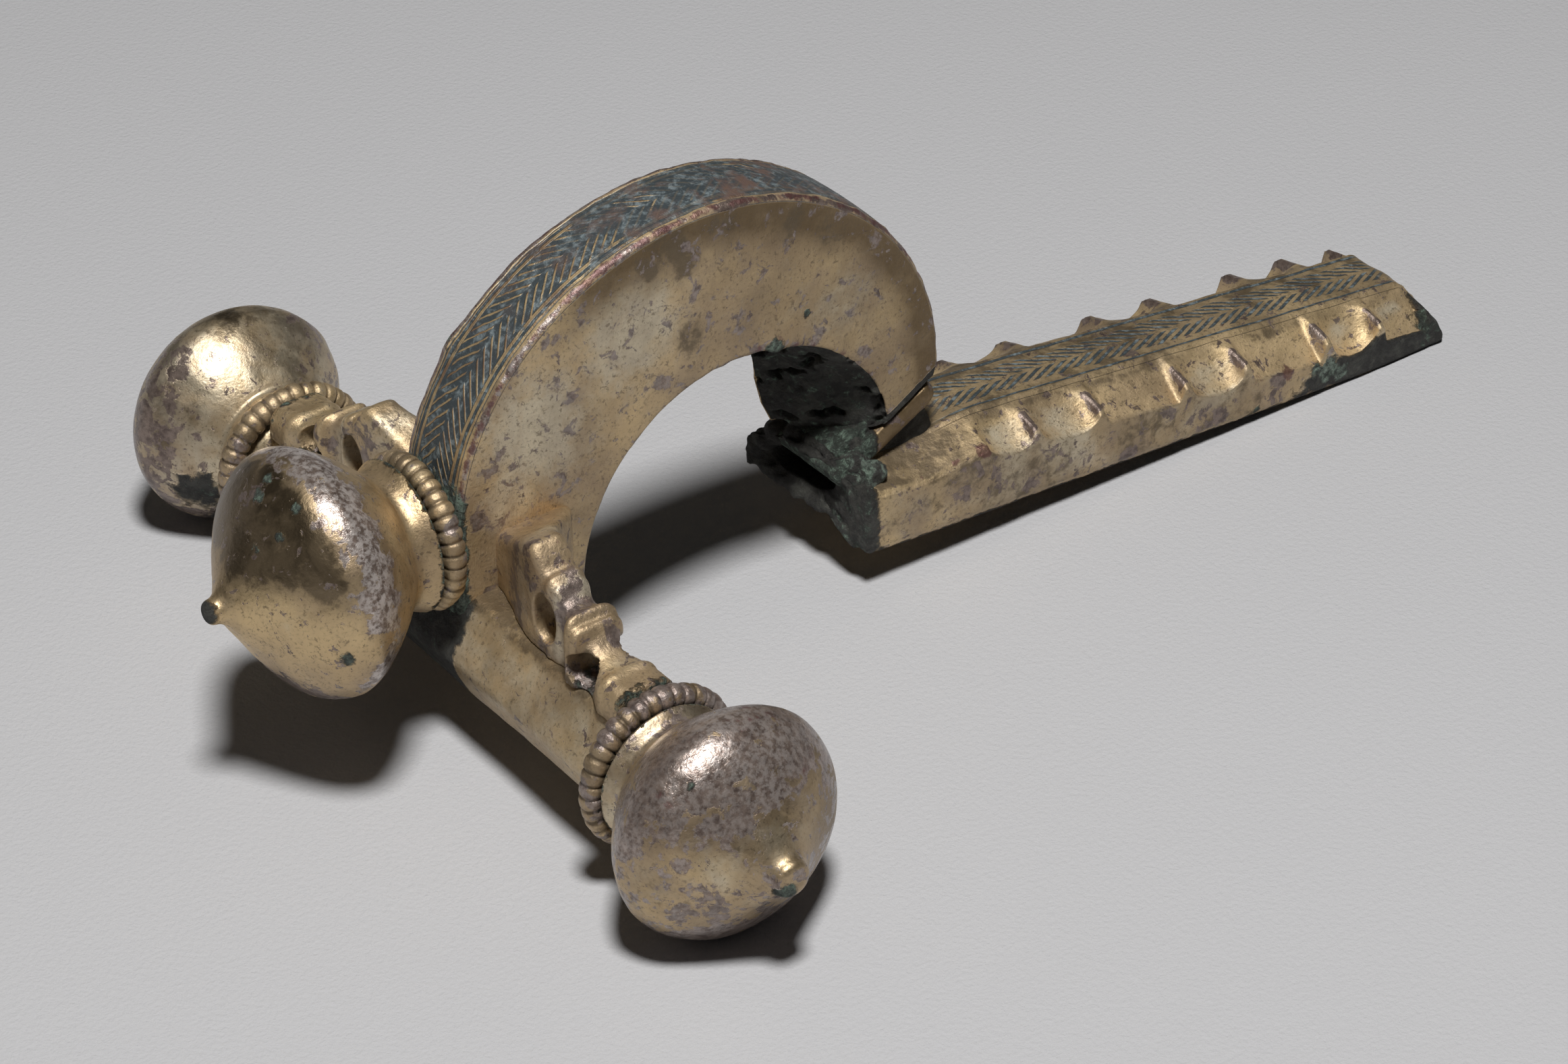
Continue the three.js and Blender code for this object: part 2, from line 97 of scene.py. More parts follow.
def noise(p, size=1.0, seed=0):
    """Smooth value noise from -1 to 1 at points p, with lumps about `size` across."""
    q = np.asarray(p, float) / size + seed * 17.31
    cell = np.floor(q).astype(int)
    f = q - cell
    f = f * f * (3 - 2 * f)
    total = 0
    for dx in (0, 1):
        for dy in (0, 1):
            for dz in (0, 1):
                row = PERM[(cell[:, 0] + dx) & 255] + cell[:, 1] + dy
                h = PERM[(PERM[row & 255] + cell[:, 2] + dz) & 255]
                weight = (
                    (f[:, 0] if dx else 1 - f[:, 0])
                    * (f[:, 1] if dy else 1 - f[:, 1])
                    * (f[:, 2] if dz else 1 - f[:, 2])
                )
                total = total + weight * h
    return total / 127.5 - 1


def fbm(p, size=1.0, seed=0, octaves=4):
    total, scale, norm = 0, 1.0, 0
    for i in range(octaves):
        total = total + scale * noise(p, size / 2**i, seed + i * 3)
        norm += scale
        scale *= 0.55
    return total / norm


def ridge(x, centre, width):
    """1 at the centre, falling off softly to both sides."""
    return np.exp(-(((x - centre) / width) ** 2))


def most(*fields):
    return np.maximum.reduce(fields)


def blobs(p, spots):
    """Soft spots: each is x, y, z, radius and, if wanted, strength."""
    total = np.zeros(len(p))
    for spot in spots:
        strength = spot[4] if len(spot) > 4 else 1.0
        d2 = ((p - np.array(spot[:3])) ** 2).sum(1) / spot[3] ** 2
        total = np.maximum(total, strength * np.exp(-d2))
    return total


def on_side(y, spots):
    """Spots on a flat side at that y, each listed by x, z, radius and, if wanted, strength."""
    return [(x, y, z, *size) for x, z, *size in spots]


def rounded(corners, radii, counts, arc):
    """Points round a polygon with rounded corners; counts says how many lie along each straight side."""
    n = len(corners)
    corners = [np.array(c, float) for c in corners]
    starts, ends, curves = [], [], []
    for i in range(n):
        before, here, after = corners[i - 1], corners[i], corners[(i + 1) % n]
        a = here + (before - here) / np.linalg.norm(before - here) * radii[i]
        b = here + (after - here) / np.linalg.norm(after - here) * radii[i]
        t = np.linspace(0, 1, arc)[:, None]
        curves.append((1 - t) ** 2 * a + 2 * t * (1 - t) * here + t * t * b)
        starts.append(a)
        ends.append(b)
    out = []
    for i in range(n):
        out.append(curves[i])
        t = np.linspace(0, 1, counts[i] + 2)[1:-1, None]
        out.append(ends[i] + (starts[(i + 1) % n] - ends[i]) * t)
    return np.vstack(out)


# ---- meshes -------------------------------------------------------------------------------------
def grid_faces(rings, count, close_rings=False):
    i, j = np.meshgrid(np.arange(rings if close_rings else rings - 1), np.arange(count), indexing="ij")
    a = i * count + j
    b = i * count + (j + 1) % count
    c = ((i + 1) % rings) * count + (j + 1) % count
    d = ((i + 1) % rings) * count + j
    return np.stack([a, b, c, d], -1).reshape(-1, 4).tolist()


def new_mesh(name, points, faces):
    """An object from points in millimetres about the crossbar's middle, with outward faces."""
    co = np.array(points, float)
    co[:, 0] += SHIFT
    mesh = bpy.data.meshes.new(name)
    mesh.from_pydata((co / 1000).tolist(), [], faces)
    mesh.update()
    obj = bpy.data.objects.new(name, mesh)
    bpy.context.scene.collection.objects.link(obj)
    flip_if_inside_out(mesh, co)
    mesh.polygons.foreach_set("use_smooth", [True] * len(mesh.polygons))
    return obj


def flip_if_inside_out(mesh, co):
    mesh.calc_loop_triangles()
    tri = np.zeros(len(mesh.loop_triangles) * 3, int)
    mesh.loop_triangles.foreach_get("vertices", tri)
    co = co[tri].reshape(-1, 3, 3)
    if np.einsum("ij,ij->i", co[:, 0], np.cross(co[:, 1], co[:, 2])).sum() < 0:
        mesh.flip_normals()


def points_of(obj):
    """The object's points in millimetres about the crossbar's middle."""
    co = np.zeros(len(obj.data.vertices) * 3)
    obj.data.vertices.foreach_get("co", co)
    co = co.reshape(-1, 3) * 1000
    co[:, 0] -= SHIFT
    return co


def set_points(obj, points):
    """Puts the points back, held inside the box of the solids."""
    co = np.array(points, float)
    co[:, 0] += SHIFT
    co = np.clip(co / 1000, np.array(CAD_LOW) + 1e-6, np.array(CAD_HIGH) - 1e-6)
    obj.data.vertices.foreach_set("co", co.ravel())
    obj.data.update()


def push(obj, amount):
    """Moves every point along its normal by `amount` millimetres and returns the new points."""
    normals = np.zeros(len(obj.data.vertices) * 3)
    obj.data.vertex_normals.foreach_get("vector", normals)
    set_points(obj, points_of(obj) + normals.reshape(-1, 3) * np.asarray(amount)[:, None])
    return points_of(obj)


def sweep(name, rings):
    """A closed skin over rings of equally many points, with a flat fan over each end."""
    rings = np.array(rings)
    n, count = rings.shape[:2]
    points = np.vstack([rings.reshape(-1, 3), rings[0].mean(0), rings[-1].mean(0)])
    faces = grid_faces(n, count)
    for j in range(count):
        k = (j + 1) % count
        faces.append([n * count, k, j])
        faces.append([n * count + 1, (n - 1) * count + j, (n - 1) * count + k])
    return new_mesh(name, points, faces)


def settle(obj, node, material):
    """Fits a finished mesh into the model: what it stands for, what it moves with and its finish."""
    obj.data.materials.append(material)
    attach(obj, "root")
    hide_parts(node)
    return obj


# ---- shader building ----------------------------------------------------------------------------
class Nodes:
    """Short calls for building one material's node tree."""

    def __init__(self, name):
        self.material = bpy.data.materials.new(name)
        self.material.use_nodes = True
        self.tree = self.material.node_tree
        self.tree.nodes.clear()
        coords = self.tree.nodes.new("ShaderNodeTexCoord").outputs["Object"]
        self.mm = self.vec("SCALE", coords, scale=1000.0)

    def put(self, kind, inputs, **settings):
        node = self.tree.nodes.new(kind)
        for key, value in settings.items():
            setattr(node, key, value)
        for key, value in inputs.items():
            socket = node.inputs[key]
            if isinstance(value, bpy.types.NodeSocket):
                self.tree.links.new(value, socket)
            else:
                socket.default_value = value
        return node

    def vec(self, operation, a, b=None, scale=None):
        inputs = {0: a}
        if b is not None:
            inputs[1] = b
        node = self.put("ShaderNodeVectorMath", inputs, operation=operation)
        if scale is not None:
            node.inputs["Scale"].default_value = scale
        return node.outputs[0]

    def math(self, operation, a, b=0.0, c=0.0, clamp=False):
        inputs = {0: a, 1: b, 2: c}
        return self.put("ShaderNodeMath", inputs, operation=operation, use_clamp=clamp).outputs[0]

    def add(self, a, b):
        return self.math("ADD", a, b)

    def sub(self, a, b):
        return self.math("SUBTRACT", a, b)

    def mul(self, a, b):
        return self.math("MULTIPLY", a, b)

    def top(self, a, b):
        return self.math("MAXIMUM", a, b)

    def step(self, value, low, high):
        inputs = {"Value": value, "From Min": low, "From Max": high}
        return self.put("ShaderNodeMapRange", inputs, interpolation_type="SMOOTHSTEP").outputs[0]

    def stretch(self, x, y, z):
        return self.vec("MULTIPLY", self.mm, (x, y, z))

    def noise(self, scale, detail=4.0, rough=0.55, warp=0.0, where=None):
        inputs = {
            "Vector": self.mm if where is None else where,
            "Scale": scale,
            "Detail": detail,
            "Roughness": rough,
            "Distortion": warp,
        }
        return self.put("ShaderNodeTexNoise", inputs).outputs[0]

    def value(self, name):
        settings = {"attribute_name": name, "attribute_type": "GEOMETRY"}
        return self.put("ShaderNodeAttribute", {}, **settings).outputs["Fac"]

    def mix(self, mask, a, b):
        node = self.put("ShaderNodeMix", {0: mask}, data_type="RGBA")
        for socket, value in ((node.inputs[6], a), (node.inputs[7], b)):
            if isinstance(value, bpy.types.NodeSocket):
                self.tree.links.new(value, socket)
            else:
                socket.default_value = (*value, 1.0)
        return node.outputs[2]

    def coat(self, color, mask, amount, paint):
        return self.mix(self.mul(mask, amount), color, paint)

    def blend(self, mask, a, b):
        node = self.put("ShaderNodeMix", {0: mask, 2: a, 3: b}, data_type="FLOAT")
        return node.outputs[0]

    def patch(self, name, size, spread=1.0, level=0.5, sharp=0.05, detail=7.0):
        """Where the mesh's soft layer says there is something, in ragged patches."""
        grain = self.noise(size, detail, 0.62, 0.3)
        field = self.add(self.value(name), self.mul(self.sub(grain, 0.5), spread))
        return self.step(field, level - sharp, level + sharp)

    def finish(self, color, rough, metal, height, distance=0.0001, strength=1.0):
        bump = self.put("ShaderNodeBump", {"Height": height, "Distance": distance, "Strength": strength})
        shader = self.put(
            "ShaderNodeBsdfPrincipled",
            {"Base Color": color, "Roughness": rough, "Metallic": metal, "Normal": bump.outputs[0]},
        )
        output = self.tree.nodes.new("ShaderNodeOutputMaterial")
        self.tree.links.new(shader.outputs[0], output.inputs[0])
        return self.material


# ---- finishes -----------------------------------------------------------------------------------
GOLD, PALE_GOLD, BROWN_GOLD = (0.72, 0.54, 0.30), (0.74, 0.66, 0.50), (0.50, 0.37, 0.22)
# The darkest umber is real brown on the band and the neck, and the colour of painted shade on the near
# knob.
UMBER, UMBER_PALE, UMBER_DARK_AND_SHADE = (0.14, 0.105, 0.065), (0.30, 0.225, 0.135), (0.15, 0.10, 0.048)
# The silvery colour is silvery patina in most places, and the colour of painted highlights on the bow's
# rim.
PURPLE, PURPLE_DARK, SILVERY_AND_GLINT = (0.26, 0.20, 0.175), (0.10, 0.072, 0.068), (0.66, 0.60, 0.57)
SLATE, SLATE_PALE, SLATE_WORN = (0.075, 0.092, 0.10), (0.30, 0.36, 0.38), (0.21, 0.14, 0.115)
VERDIGRIS, VERDIGRIS_PALE, DARK_GREEN = (0.26, 0.36, 0.28), (0.42, 0.52, 0.43), (0.05, 0.062, 0.05)
CRUST, CRUST_PALE, CUPRITE = (0.04, 0.038, 0.034), (0.10, 0.10, 0.085), (0.15, 0.062, 0.06)
STROKE_GOLD, STROKE_BROWN = (0.50, 0.37, 0.20), (0.24, 0.15, 0.09)

# What the mesh tells the metal, point by point: how much of each finish, and the place on the niello. Some
# layers also carry painted light: the brown layer paints shade on the near knob, the silver layer paints
# highlights on the bow's rim, and the purple and stain layers paint shade on the foot's teeth.
LAYERS = ("pale", "stain", "purple", "silver", "brown", "red", "green", "crust", "u", "v", "panel")


def metal(
    name,
    tarnish,
    niello=None,
    brush=(1.0, 1.0, 1.0),
    shine=0.6,
    rough=0.36,
    relief=1.0,
    bare_rough=0.36,
    stain_rough=0.55,
    grain=0.7,
):
    """Worn gilding, with more bare specks the greater the tarnish. The layers place everything else."""
    n = Nodes(name)
    broad = n.noise(0.16, 3.0, 0.55, 0.4)
    middle = n.noise(0.7, 6.0, 0.62, 0.2)
    fine = n.noise(5.0, 5.0, 0.65)
    cloud = n.noise(0.38, 7.0, 0.68, 0.6)
    scratches = n.noise(2.2, 3.0, 0.6, 0.0, n.stretch(*brush))

    color = n.mix(n.step(broad, 0.35, 0.65), GOLD, BROWN_GOLD)
    pale = n.step(n.add(n.value("pale"), n.mul(n.sub(middle, 0.5), 1.4)), 0.1, 0.8)
    color = n.coat(color, pale, 0.85, PALE_GOLD)
    color = n.coat(color, n.step(cloud, 0.50, 0.66), 0.5, BROWN_GOLD)
    color = n.coat(color, n.step(fine, 0.52, 0.72), 0.45, UMBER)
    dots = n.step(n.noise(3.4, 7.0, 0.7, 0.4), 0.60 - tarnish, 0.66 - tarnish)
    color = n.coat(color, dots, 0.6, UMBER)
    rough = n.add(rough - 0.08, n.mul(n.add(middle, fine), 0.16))
    metalness = n.sub(shine + 0.12, n.mul(n.step(cloud, 0.40, 0.62), 0.24))

    # The stain and purple layers hold real stains and patina, and at the foot's teeth they also hold
    # painted shade.
    grime = n.patch("stain", 0.4, 1.0, 0.36, 0.3, 6.0)
    color = n.coat(color, grime, 0.6, UMBER_PALE)
    haze = n.patch("purple", 0.5, 0.8, 0.42, 0.2, 5.0)
    color = n.coat(color, haze, 0.28, PURPLE)
    # The brown layer darkens towards the darkest umber. On the band and the neck this is real brown. On the
    # near knob's underside and far side it is painted shade. On the bow's side it darkens under the rim,
    # towards the foot and lower down.
    shaded = n.mul(n.value("brown"), n.add(0.55, n.mul(n.noise(0.5, 6.0, 0.62, 0.4), 0.9)))
    color = n.mix(n.math("MINIMUM", shaded, 0.92), color, UMBER_DARK_AND_SHADE)
    stain = n.patch("stain", 0.9, 1.6, 0.62, 0.16)
    color = n.coat(color, stain, 0.8, UMBER)
    rough = n.blend(stain, rough, stain_rough)

    specks = n.step(n.noise(1.1, 9.0, 0.7, 0.5), 0.63 - tarnish, 0.65 - tarnish)
    purple = n.top(n.patch("purple", grain, 2.0, 0.6, 0.05, 10.0), specks)
    purple_color = n.mix(n.step(n.noise(1.9, 6.0, 0.7), 0.38, 0.66), PURPLE, PURPLE_DARK)
    # Silvery flecks in the purple: silvery patina in most places, painted highlights on the bow's rim.
    glint = n.mul(n.value("silver"), n.step(n.noise(2.6, 6.0, 0.7), 0.40, 0.60))
    purple_color = n.mix(glint, purple_color, SILVERY_AND_GLINT)
    color = n.coat(color, purple, 0.9, purple_color)
    rough = n.blend(purple, rough, bare_rough)

    red = n.patch("red", 1.6, 1.2, 0.55, 0.1)
    color = n.coat(color, red, 0.75, CUPRITE)
    rough = n.blend(red, rough, 0.40)

    metalness = n.blend(purple, metalness, 0.55)
    height = n.add(n.mul(fine, 0.035), n.mul(scratches, 0.03))
    height = n.add(height, n.mul(middle, 0.06))
    height = n.add(height, n.mul(purple, -0.03))
    height = n.add(height, n.mul(n.mul(purple, n.noise(2.6, 5.0, 0.6)), 0.045))
    height = n.mul(height, relief)

    if niello:
        inlay, strokes, worn = niello(n)
        slate = n.mix(n.step(n.noise(1.7, 7.0, 0.7, 0.4), 0.46, 0.68), SLATE, SLATE_PALE)
        slate = n.mix(n.mul(worn, n.step(middle, 0.45, 0.66)), slate, SLATE_WORN)
        color = n.mix(inlay, color, slate)
        stroke_color = n.mix(n.step(middle, 0.35, 0.7), STROKE_GOLD, STROKE_BROWN)
        color = n.mix(strokes, color, stroke_color)
        rough = n.blend(inlay, rough, 0.47)
        metalness = n.blend(inlay, metalness, 0.4)
        height = n.add(height, n.mul(n.sub(inlay, strokes), -0.05))

    crust = n.patch("crust", 1.2, 0.9, 0.5, 0.1)
    crust_color = n.mix(n.step(n.noise(0.9, 6.0, 0.65, 0.6), 0.42, 0.7), CRUST, CRUST_PALE)
    color = n.mix(crust, color, crust_color)
    green = n.patch("green", 1.5, 1.3, 0.55, 0.1)
    green_color = n.mix(n.step(n.noise(1.8, 7.0, 0.75, 0.5), 0.46, 0.66), DARK_GREEN, VERDIGRIS)
    flecks = n.mul(n.value("silver"), n.step(n.noise(2.4, 7.0, 0.75), 0.42, 0.62))
    green_color = n.mix(flecks, green_color, VERDIGRIS_PALE)
    color = n.mix(green, color, green_color)
    rot = n.top(crust, green)
    rough = n.blend(rot, rough, 0.72)
    metalness = n.mul(metalness, n.sub(1.0, rot))
    lumps = n.add(n.noise(2.4, 8.0, 0.7, 0.8), n.mul(n.noise(0.9, 4.0, 0.6), 0.8))
    height = n.add(height, n.mul(n.mul(rot, lumps), 0.55))
    return n.finish(color, rough, metalness, height, 0.001)


def herringbone(n, pitch, lean, reach, width, ragged):
    """Slanting strokes in two rows that meet on the middle line, pointing along +u. Returns 0 to 1."""
    u, v = n.value("u"), n.value("v")
    wobble = n.mul(n.sub(n.noise(0.8, 3.0, 0.6), 0.5), ragged)
    across = n.math("ABSOLUTE", n.add(v, n.mul(wobble, 0.6)))
    side = n.math("SIGN", v)
    along = n.add(n.add(n.add(u, n.mul(across, lean)), wobble), n.mul(side, pitch * 0.21))
    turns = n.math("DIVIDE", along, pitch)
    phase = n.math("ABSOLUTE", n.sub(n.math("FRACT", turns), 0.5))
    number = n.add(n.math("FLOOR", turns), n.mul(side, 137.0))
    chance = n.put("ShaderNodeTexWhiteNoise", {"W": number}, noise_dimensions="1D").outputs[0]
    line = n.sub(1.0, n.step(phase, width * 0.5 - 0.05, width * 0.5 + 0.05))
    inner = n.step(across, n.mul(chance, 0.16), n.add(n.mul(chance, 0.16), 0.1))
    end = n.add(reach - 0.3, n.mul(chance, 0.3))
    outer = n.sub(1.0, n.step(across, end, n.add(end, 0.1)))
    return n.mul(n.mul(line, inner), outer)


def band_at(n, v, centre, half):
    return n.sub(1.0, n.step(n.math("ABSOLUTE", n.sub(v, centre)), half - 0.03, half + 0.03))


def bow_niello(n):
    """Blue-grey inlay with strokes and border lines left in gold, worn away towards the foot."""
    v = n.math("ABSOLUTE", n.add(n.value("v"), n.mul(n.sub(n.noise(0.5), 0.5), 0.16)))
    u = n.value("u")
    field = n.mul(n.sub(1.0, n.step(v, 2.12, 2.2)), n.value("panel"))
    lines = n.top(band_at(n, v, 1.62, 0.11), band_at(n, v, 2.02, 0.07))
    strokes = herringbone(n, 0.74, 1.24, 1.5, 0.26, 0.3)
    wear = n.step(n.add(n.noise(0.45, 6.0, 0.65, 0.4), n.mul(n.step(u, 17.0, 30.0), 0.22)), 0.56, 0.66)
    strokes = n.mul(n.mul(n.top(strokes, lines), field), n.sub(1.0, n.mul(wear, 0.85)))
    return field, strokes, n.step(u, 14.0, 36.0)


def foot_niello(n):
    """Dark inlaid strokes and two border lines on the gilt panel of the foot."""
    v = n.math("ABSOLUTE", n.add(n.value("v"), n.mul(n.sub(n.noise(0.4), 0.5), 0.12)))
    strokes = herringbone(n, 0.98, 2.0, 1.3, 0.46, 0.3)
    line = band_at(n, v, 1.82, 0.1)
    wear = n.step(n.noise(0.4, 6.0, 0.65, 0.4), 0.58, 0.70)
    inlay = n.mul(n.top(strokes, line), n.mul(n.value("panel"), n.sub(1.0, n.mul(wear, 0.7))))
    return inlay, n.mul(inlay, 0.0), n.mul(inlay, 0.0)


GILT = metal("worn_gilding", 0.03, shine=0.66, rough=0.38)
KNOB_GILT = metal(
    "knob_gilding", 0.03, shine=0.80, rough=0.33, relief=0.55, bare_rough=0.27, stain_rough=0.34, grain=1.0
)
BOW_GILT = metal("bow_gilding_and_niello", 0.035, bow_niello, (3.2, 1.0, 0.6), 0.45, 0.42)
FOOT_GILT = metal("foot_gilding_and_niello", 0.045, foot_niello, (0.5, 2.0, 2.0), 0.55, 0.42)


def layers(obj, **values):
    """Every layer the metal reads, each a number a point or one for all. Those not named are zero."""
    for name in LAYERS:
        attribute = obj.data.attributes.new(name, "FLOAT", "POINT")
        field = np.broadcast_to(values.get(name, 0.0), len(obj.data.vertices))
        attribute.data.foreach_set("value", field.astype(np.float32))


# ---- knobs --------------------------------------------------------------------------------------
def bezier(p0, p1, p2, p3, count):
    t = np.linspace(0, 1, count)[:, None]
    p0, p1, p2, p3 = (np.array(p, float) for p in (p0, p1, p2, p3))
    return (1 - t) ** 3 * p0 + 3 * t * (1 - t) ** 2 * p1 + 3 * t * t * (1 - t) * p2 + t**3 * p3


KNOB_WIDEST = 5.8  # the widest ring's radius in the units of the profile below
STEM_PLAY = 0.17  # between a knob's stem and the hole of its collar


def knob(radius, neck, hole, nub):
    """Turned about +Y with its widest ring at y = 0. hole is the radius of the collar's hole."""
    unit = radius / KNOB_WIDEST
    end = -neck / unit
    stem = (hole - STEM_PLAY) / unit
    shoulder, widest = (nub + 0.3, 4.6), (KNOB_WIDEST, 0)
    profile = np.vstack([
        [(0.02, end), (1.2, end), (stem, end), (stem, end + 0.6)],
        bezier((stem, end + 1.05), (stem + 0.1, end + 1.3), (3.35, end + 1.32), (3.62, end + 1.4), 8),
        bezier((3.62, end + 1.4), (3.5, end + 1.75), (3.1, -3.75), (3.3, -3.35), 14)[1:],
        bezier((3.3, -3.35), (3.9, -2.9), (5.6, -1.1), widest, 30)[1:],
        bezier(widest, (KNOB_WIDEST, 2.0), (3.45, 2.95), shoulder, 36)[1:],
        bezier(shoulder, (nub + 0.08, 4.78), (nub, 4.95), (nub * 0.97, 5.1), 7)[1:],
        bezier((nub * 0.97, 5.1), (nub * 0.92, 5.4), (nub * 0.6, KNOB_TIP), (0.02, KNOB_TIP), 10)[1:],
    ]) * unit
    around = np.linspace(0, 2 * np.pi, 160, endpoint=False)
    rings = [
        np.stack([r * np.cos(around), np.full_like(around, y), r * np.sin(around)], 1) for r, y in profile
    ]
    return rings, unit


def place_knob(name, node, size, nub, turn, centre, seed, soft):
    rings, unit = knob(*size, nub)
    rings = [ring @ np.array(turn).T + np.array(centre) for ring in rings]
    obj = sweep(name, rings)
    points = points_of(obj)
    dents = 0.10 * fbm(points, 4.5, seed, 2) + 0.03 * fbm(points, 1.2, seed + 5, 3)
    dents = dents - 0.06 * smooth(fbm(points, 2.2, seed + 9, 3), 0.25, 0.6)
    tip = np.array(centre) + np.array(turn) @ np.array([0, KNOB_TIP * unit, 0])
    points = push(obj, dents * (1 - 0.8 * blobs(points, [(*tip, 1.2)])))
    layers(obj, **soft(points))
    return settle(obj, node, KNOB_GILT)


def neck_green(p, axis=1, centre=18.6):
    """Corrosion lodged in the crease between a knob's neck and its collar."""
    return 0.62 * smooth(0.55 - np.abs(np.abs(p[:, axis]) - centre), -0.2, 0.5)


NEAR_GOLD = [
    (-0.4, -29.0, 8.6, 1.7), (-3.2, -28.3, 7.4, 2.0), (-5.9, -25.6, 6.4, 1.8, 0.7),
    (-1.0, -27.4, 11.2, 0.8, 0.9), (2.4, -29.0, 8.8, 2.0), (-1.5, -28.6, 4.8, 1.4, 0.6),
    (-4.6, -21.6, 10.6, 1.3),
]
NEAR_RED = [(1.5, -24.5, 12.9, 3.0), (3.6, -27.0, 10.6, 2.0), (-4.5, -25.5, 10.8, 1.6)]
NEAR_GREEN = [(-0.6, -29.9, 6.1, 0.9), (-3.5, -25.6, 11.6, 0.5, 0.6)]
FAR_GREEN = [(-4.9, 20.6, 4.2, 2.4, 0.95), (-2.0, 21.7, 1.2, 2.8, 0.8)]
FAR_STAINS = [(-6.1, 22.1, 8.0, 1.2), (-5.1, 21.3, 9.8, 0.8), (0, 24.0, 13.2, 2.0)]
HEAD_BARE = [(-15.0, -3.3, 10.8, 1.5, 0.7), (-12.6, -5.6, 10.2, 1.2, 0.65), (-12.5, 1.0, 18.2, 1.8, 0.6)]
HEAD_BRIGHT = [
    (-13.4, -4.6, 13.4, 1.8), (-14.6, -3.0, 12.6, 1.8), (-12.4, -5.6, 12.2, 1.9), (-10.4, -6.6, 12.0, 1.3),
]
HEAD_GREEN = [
    (-12.4, 0.5, 18.6, 0.7), (-11.4, 0.6, 19.2, 0.6), (-11.5, -2.1, 18.9, 0.6), (-12.8, -2.2, 17.6, 0.5),
    (-13.6, -1.0, 16.6, 0.5), (-11.6, -6.4, 11.6, 0.7),
]


def near_knob(p):
    d = (p - np.array([0.0, -SIDE_EQUATOR, BAR_Z])) / SIDE_KNOB_RADIUS
    purple = 0.60 + 0.26 * smooth(d[:, 2] + 0.25 * d[:, 1], 0.0, 0.7) + 0.12 * fbm(p, 3.2, 62, 2)
    purple = np.maximum(purple, 0.88 * smooth(-d[:, 2] - 0.1 * d[:, 1], 0.35, 0.75))
    gold = np.maximum(blobs(p, NEAR_GOLD), smooth(p[:, 1], -21.4, -20.6))
    return {
        "purple": purple * (1 - 0.42 * gold),
        "red": 0.45 * blobs(p, NEAR_RED),
        "green": np.maximum(0.9 * blobs(p, NEAR_GREEN), neck_green(p)),
        "stain": 0.36,
        # Painted shade: darker towards the underside and towards the side turned away from the lamp.
        "brown": 0.6 * smooth(p[:, 0], 1.0, 5.0) + 0.45 * smooth(-p[:, 2], -5.0, -1.0),
        "silver": 0.35 + 0.3 * fbm(p, 3.0, 61, 2),
        "pale": 0.5 * gold,
    }


def far_knob(p):
    green = blobs(p, FAR_GREEN)
    d = (p - np.array([0.0, SIDE_EQUATOR, BAR_Z])) / SIDE_KNOB_RADIUS
    equator = 0.5 * np.exp(-((d[:, 1] * 2.4) ** 2)) * smooth(-d[:, 0], 0.1, 0.9)
    hidden = 0.3 * smooth(-p[:, 2], -3.5, -1.0) + 0.3 * smooth(p[:, 0], 1.0, 5.0)
    return {
        "purple": 0.24 + equator + hidden,
        "green": np.maximum(0.5 * green, neck_green(p)),
        "crust": 0.85 * green,
        "stain": 0.2 + 0.5 * blobs(p, FAR_STAINS),
        "pale": 0.5,
    }


def head_knob(p):
    tip = (HEAD_EQUATOR - KNOB_TIP * HEAD_KNOB_RADIUS / KNOB_WIDEST, 0, HEAD_Z)
    d = (p - np.array([HEAD_EQUATOR, 0, HEAD_Z])) / HEAD_KNOB_RADIUS
    equator = ridge(p[:, 0], HEAD_EQUATOR + 0.3, 1.8)
    purple = 0.95 * equator * smooth(d[:, 2] * 0.7 - d[:, 1] * 0.6, -0.4, 0.3)
    purple = np.maximum(purple, 0.8 * smooth(-d[:, 2] * 0.8 - d[:, 0] * 0.25, 0.38, 0.7))
    purple = np.maximum(purple, blobs(p, HEAD_BARE))
    bright = blobs(p, HEAD_BRIGHT)
    return {
        "purple": np.maximum(0.3, purple) * (1 - 0.8 * bright),
        "stain": 0.95 * smooth(d[:, 2], 0.08, 0.4) * smooth(-p[:, 0], 10.2, 11.6) * (1 - bright),
        "green": np.maximum(0.75 * blobs(p, HEAD_GREEN), neck_green(p, 0, 3.9)),
        "crust": 0.95 * blobs(p, [(*tip, 0.95)]),
        "silver": equator,
        "pale": 0.1 * bright,
    }


ALONG_Y = [[1, 0, 0], [0, 1, 0], [0, 0, 1]]
ALONG_MINUS_Y = [[-1, 0, 0], [0, -1, 0], [0, 0, 1]]
ALONG_MINUS_X = [[0, -1, 0], [1, 0, 0], [0, 0, 1]]
SIDE_NECK = SIDE_EQUATOR - SIDE_COLLAR_Y + COLLAR_WIRE
HEAD_NECK = HEAD_COLLAR_X + COLLAR_WIRE - HEAD_EQUATOR
SIDE_SIZE = (SIDE_KNOB_RADIUS, SIDE_NECK, SIDE_COLLAR - 2 * COLLAR_WIRE)
HEAD_SIZE = (HEAD_KNOB_RADIUS, HEAD_NECK, HEAD_COLLAR - 2 * COLLAR_WIRE)
NEAR_END, FAR_END, HEAD_END = (0, -SIDE_EQUATOR, BAR_Z), (0, SIDE_EQUATOR, BAR_Z), (HEAD_EQUATOR, 0, HEAD_Z)
place_knob("near_knob", "right_knob", SIDE_SIZE, 0.95, ALONG_MINUS_Y, NEAR_END, 3, near_knob)
place_knob("far_knob", "left_knob", SIDE_SIZE, 0.7, ALONG_Y, FAR_END, 4, far_knob)
place_knob("head_knob_gilt", "head_knob", HEAD_SIZE, 0.62, ALONG_MINUS_X, HEAD_END, 5, head_knob)


# ---- beaded collars -----------------------------------------------------------------------------
BEADS = 36


